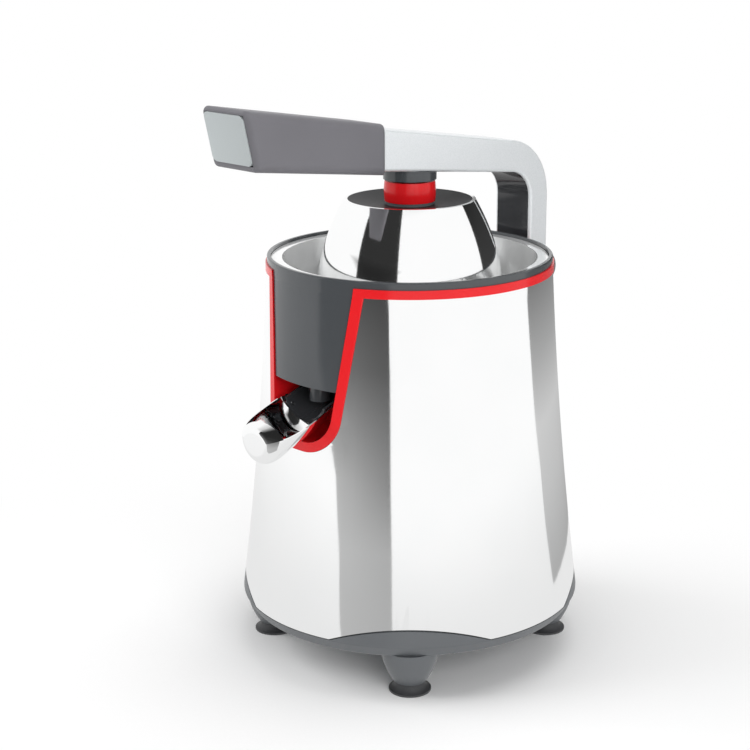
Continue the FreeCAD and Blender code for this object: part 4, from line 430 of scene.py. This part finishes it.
def grey_card():
    """Studio card that glows with the grey of each point, and is clear where its cover is 0."""
    made = bpy.data.materials.new("grey_card")
    made.use_nodes = True
    tree = made.node_tree
    tree.nodes.clear()
    grey = add(tree, "ShaderNodeAttribute", attribute_name="grey").outputs["Fac"]
    cover = add(tree, "ShaderNodeAttribute", attribute_name="cover").outputs["Fac"]
    clear = add(tree, "ShaderNodeBsdfTransparent")
    glow = add(tree, "ShaderNodeEmission", {"Strength": grey})
    mix = add(tree, "ShaderNodeMixShader", {0: cover, 1: clear.outputs[0], 2: glow.outputs[0]})
    add(tree, "ShaderNodeOutputMaterial", {"Surface": mix.outputs[0]})
    return made


def show_in_metal(name, points, faces, greys, covers):
    """A card that only metal and gloss show, with a grey and a cover from 0 to 1 at each of its points."""
    mesh = bpy.data.meshes.new(name)
    mesh.from_pydata(points, [], faces)
    mesh.attributes.new("grey", "FLOAT", "POINT").data.foreach_set("value", greys)
    mesh.attributes.new("cover", "FLOAT", "POINT").data.foreach_set("value", covers)
    mesh.materials.append(grey_card())
    card = bpy.data.objects.new(name, mesh)
    card.visible_camera = False
    card.visible_diffuse = False
    card.visible_shadow = False
    card.visible_transmission = False
    bpy.context.collection.objects.link(card)


def stand_card(name, rows):
    """A dark card bent round the press, as studios use to give steel its bands."""
    points, faces, greys = [], [], []
    for height, left, right, left_grey, right_grey in rows:
        for column in range(CARD_COLUMNS + 1):
            share = column / CARD_COLUMNS
            angle = math.radians(left + (right - left) * share)
            across = CARD_RADIUS * math.sin(angle)
            points.append((across, AXIS_Y - CARD_RADIUS * math.cos(angle), height * MM))
            greys.append(left_grey + (right_grey - left_grey) * share)
    for row in range(len(rows) - 1):
        for column in range(CARD_COLUMNS):
            first = row * (CARD_COLUMNS + 1) + column
            faces.append((first, first + 1, first + CARD_COLUMNS + 2, first + CARD_COLUMNS + 1))
    show_in_metal(name, points, faces, greys, [1.0] * len(points))


def hang_flag(name, left, right, front, back, height, border):
    """A level dark flag over the spout, in mm from the drive axis, that darkens the inside of the steel.

    It thins out to nothing across its border.
    """
    points = []
    for grow in (0, border):
        for x, y in ((left - grow, front - grow), (right + grow, front - grow),
                     (right + grow, back + grow), (left - grow, back + grow)):
            points.append((x * MM, y * MM + AXIS_Y, height * MM))
    sides = [(k, (k + 1) % 4, 4 + (k + 1) % 4, 4 + k) for k in range(4)]
    show_in_metal(name, points, [(0, 1, 2, 3)] + sides, [FLAG_GREY] * len(points), [1.0] * 4 + [0.0] * 4)


# The camera: lens and sensor in mm, shift as a share of the frame, places in metres, tilt in radians.
SENSOR_WIDTH = 36
FOCAL_LENGTH = 80.7
SIDE_SHIFT = -0.0465
EYE_REACH = 0.68296
EYE_HEIGHT = 0.4404
DOWN_TILT = 0.279


def set_camera():
    """The view of the photograph: a little above, and as far to the right of the drive axis as before it."""
    lens = bpy.data.cameras.new("view")
    lens.sensor_width = SENSOR_WIDTH
    lens.lens = FOCAL_LENGTH
    lens.shift_x = SIDE_SHIFT
    camera = bpy.data.objects.new("view", lens)
    camera.location = (EYE_REACH, AXIS_Y - EYE_REACH, EYE_HEIGHT)
    camera.rotation_euler = (math.pi / 2 - DOWN_TILT, 0, math.pi / 4)
    bpy.context.collection.objects.link(camera)
    bpy.context.scene.camera = camera


bpy.context.scene.view_settings.view_transform = "Standard"
finish_solids()
lay_floor()
fill_world()
hang_lamp("key_box", at=(-1.4, -1.3, 1.5), aim=(0, 0, 0.15), watts=26)
hang_lamp("fill_box", at=(1.9, -0.8, 0.9), aim=(0, 0, 0.15), watts=24)
hang_lamp("top_box", at=(0.1, 0.5, 1.9), aim=(0, 0, 0.1), watts=12)
stand_card("front_card", FRONT_CARD)
stand_card("rear_card", REAR_CARD)
hang_flag("spout_flag", left=-10, right=40, front=-168, back=-122, height=260, border=32)
set_camera()
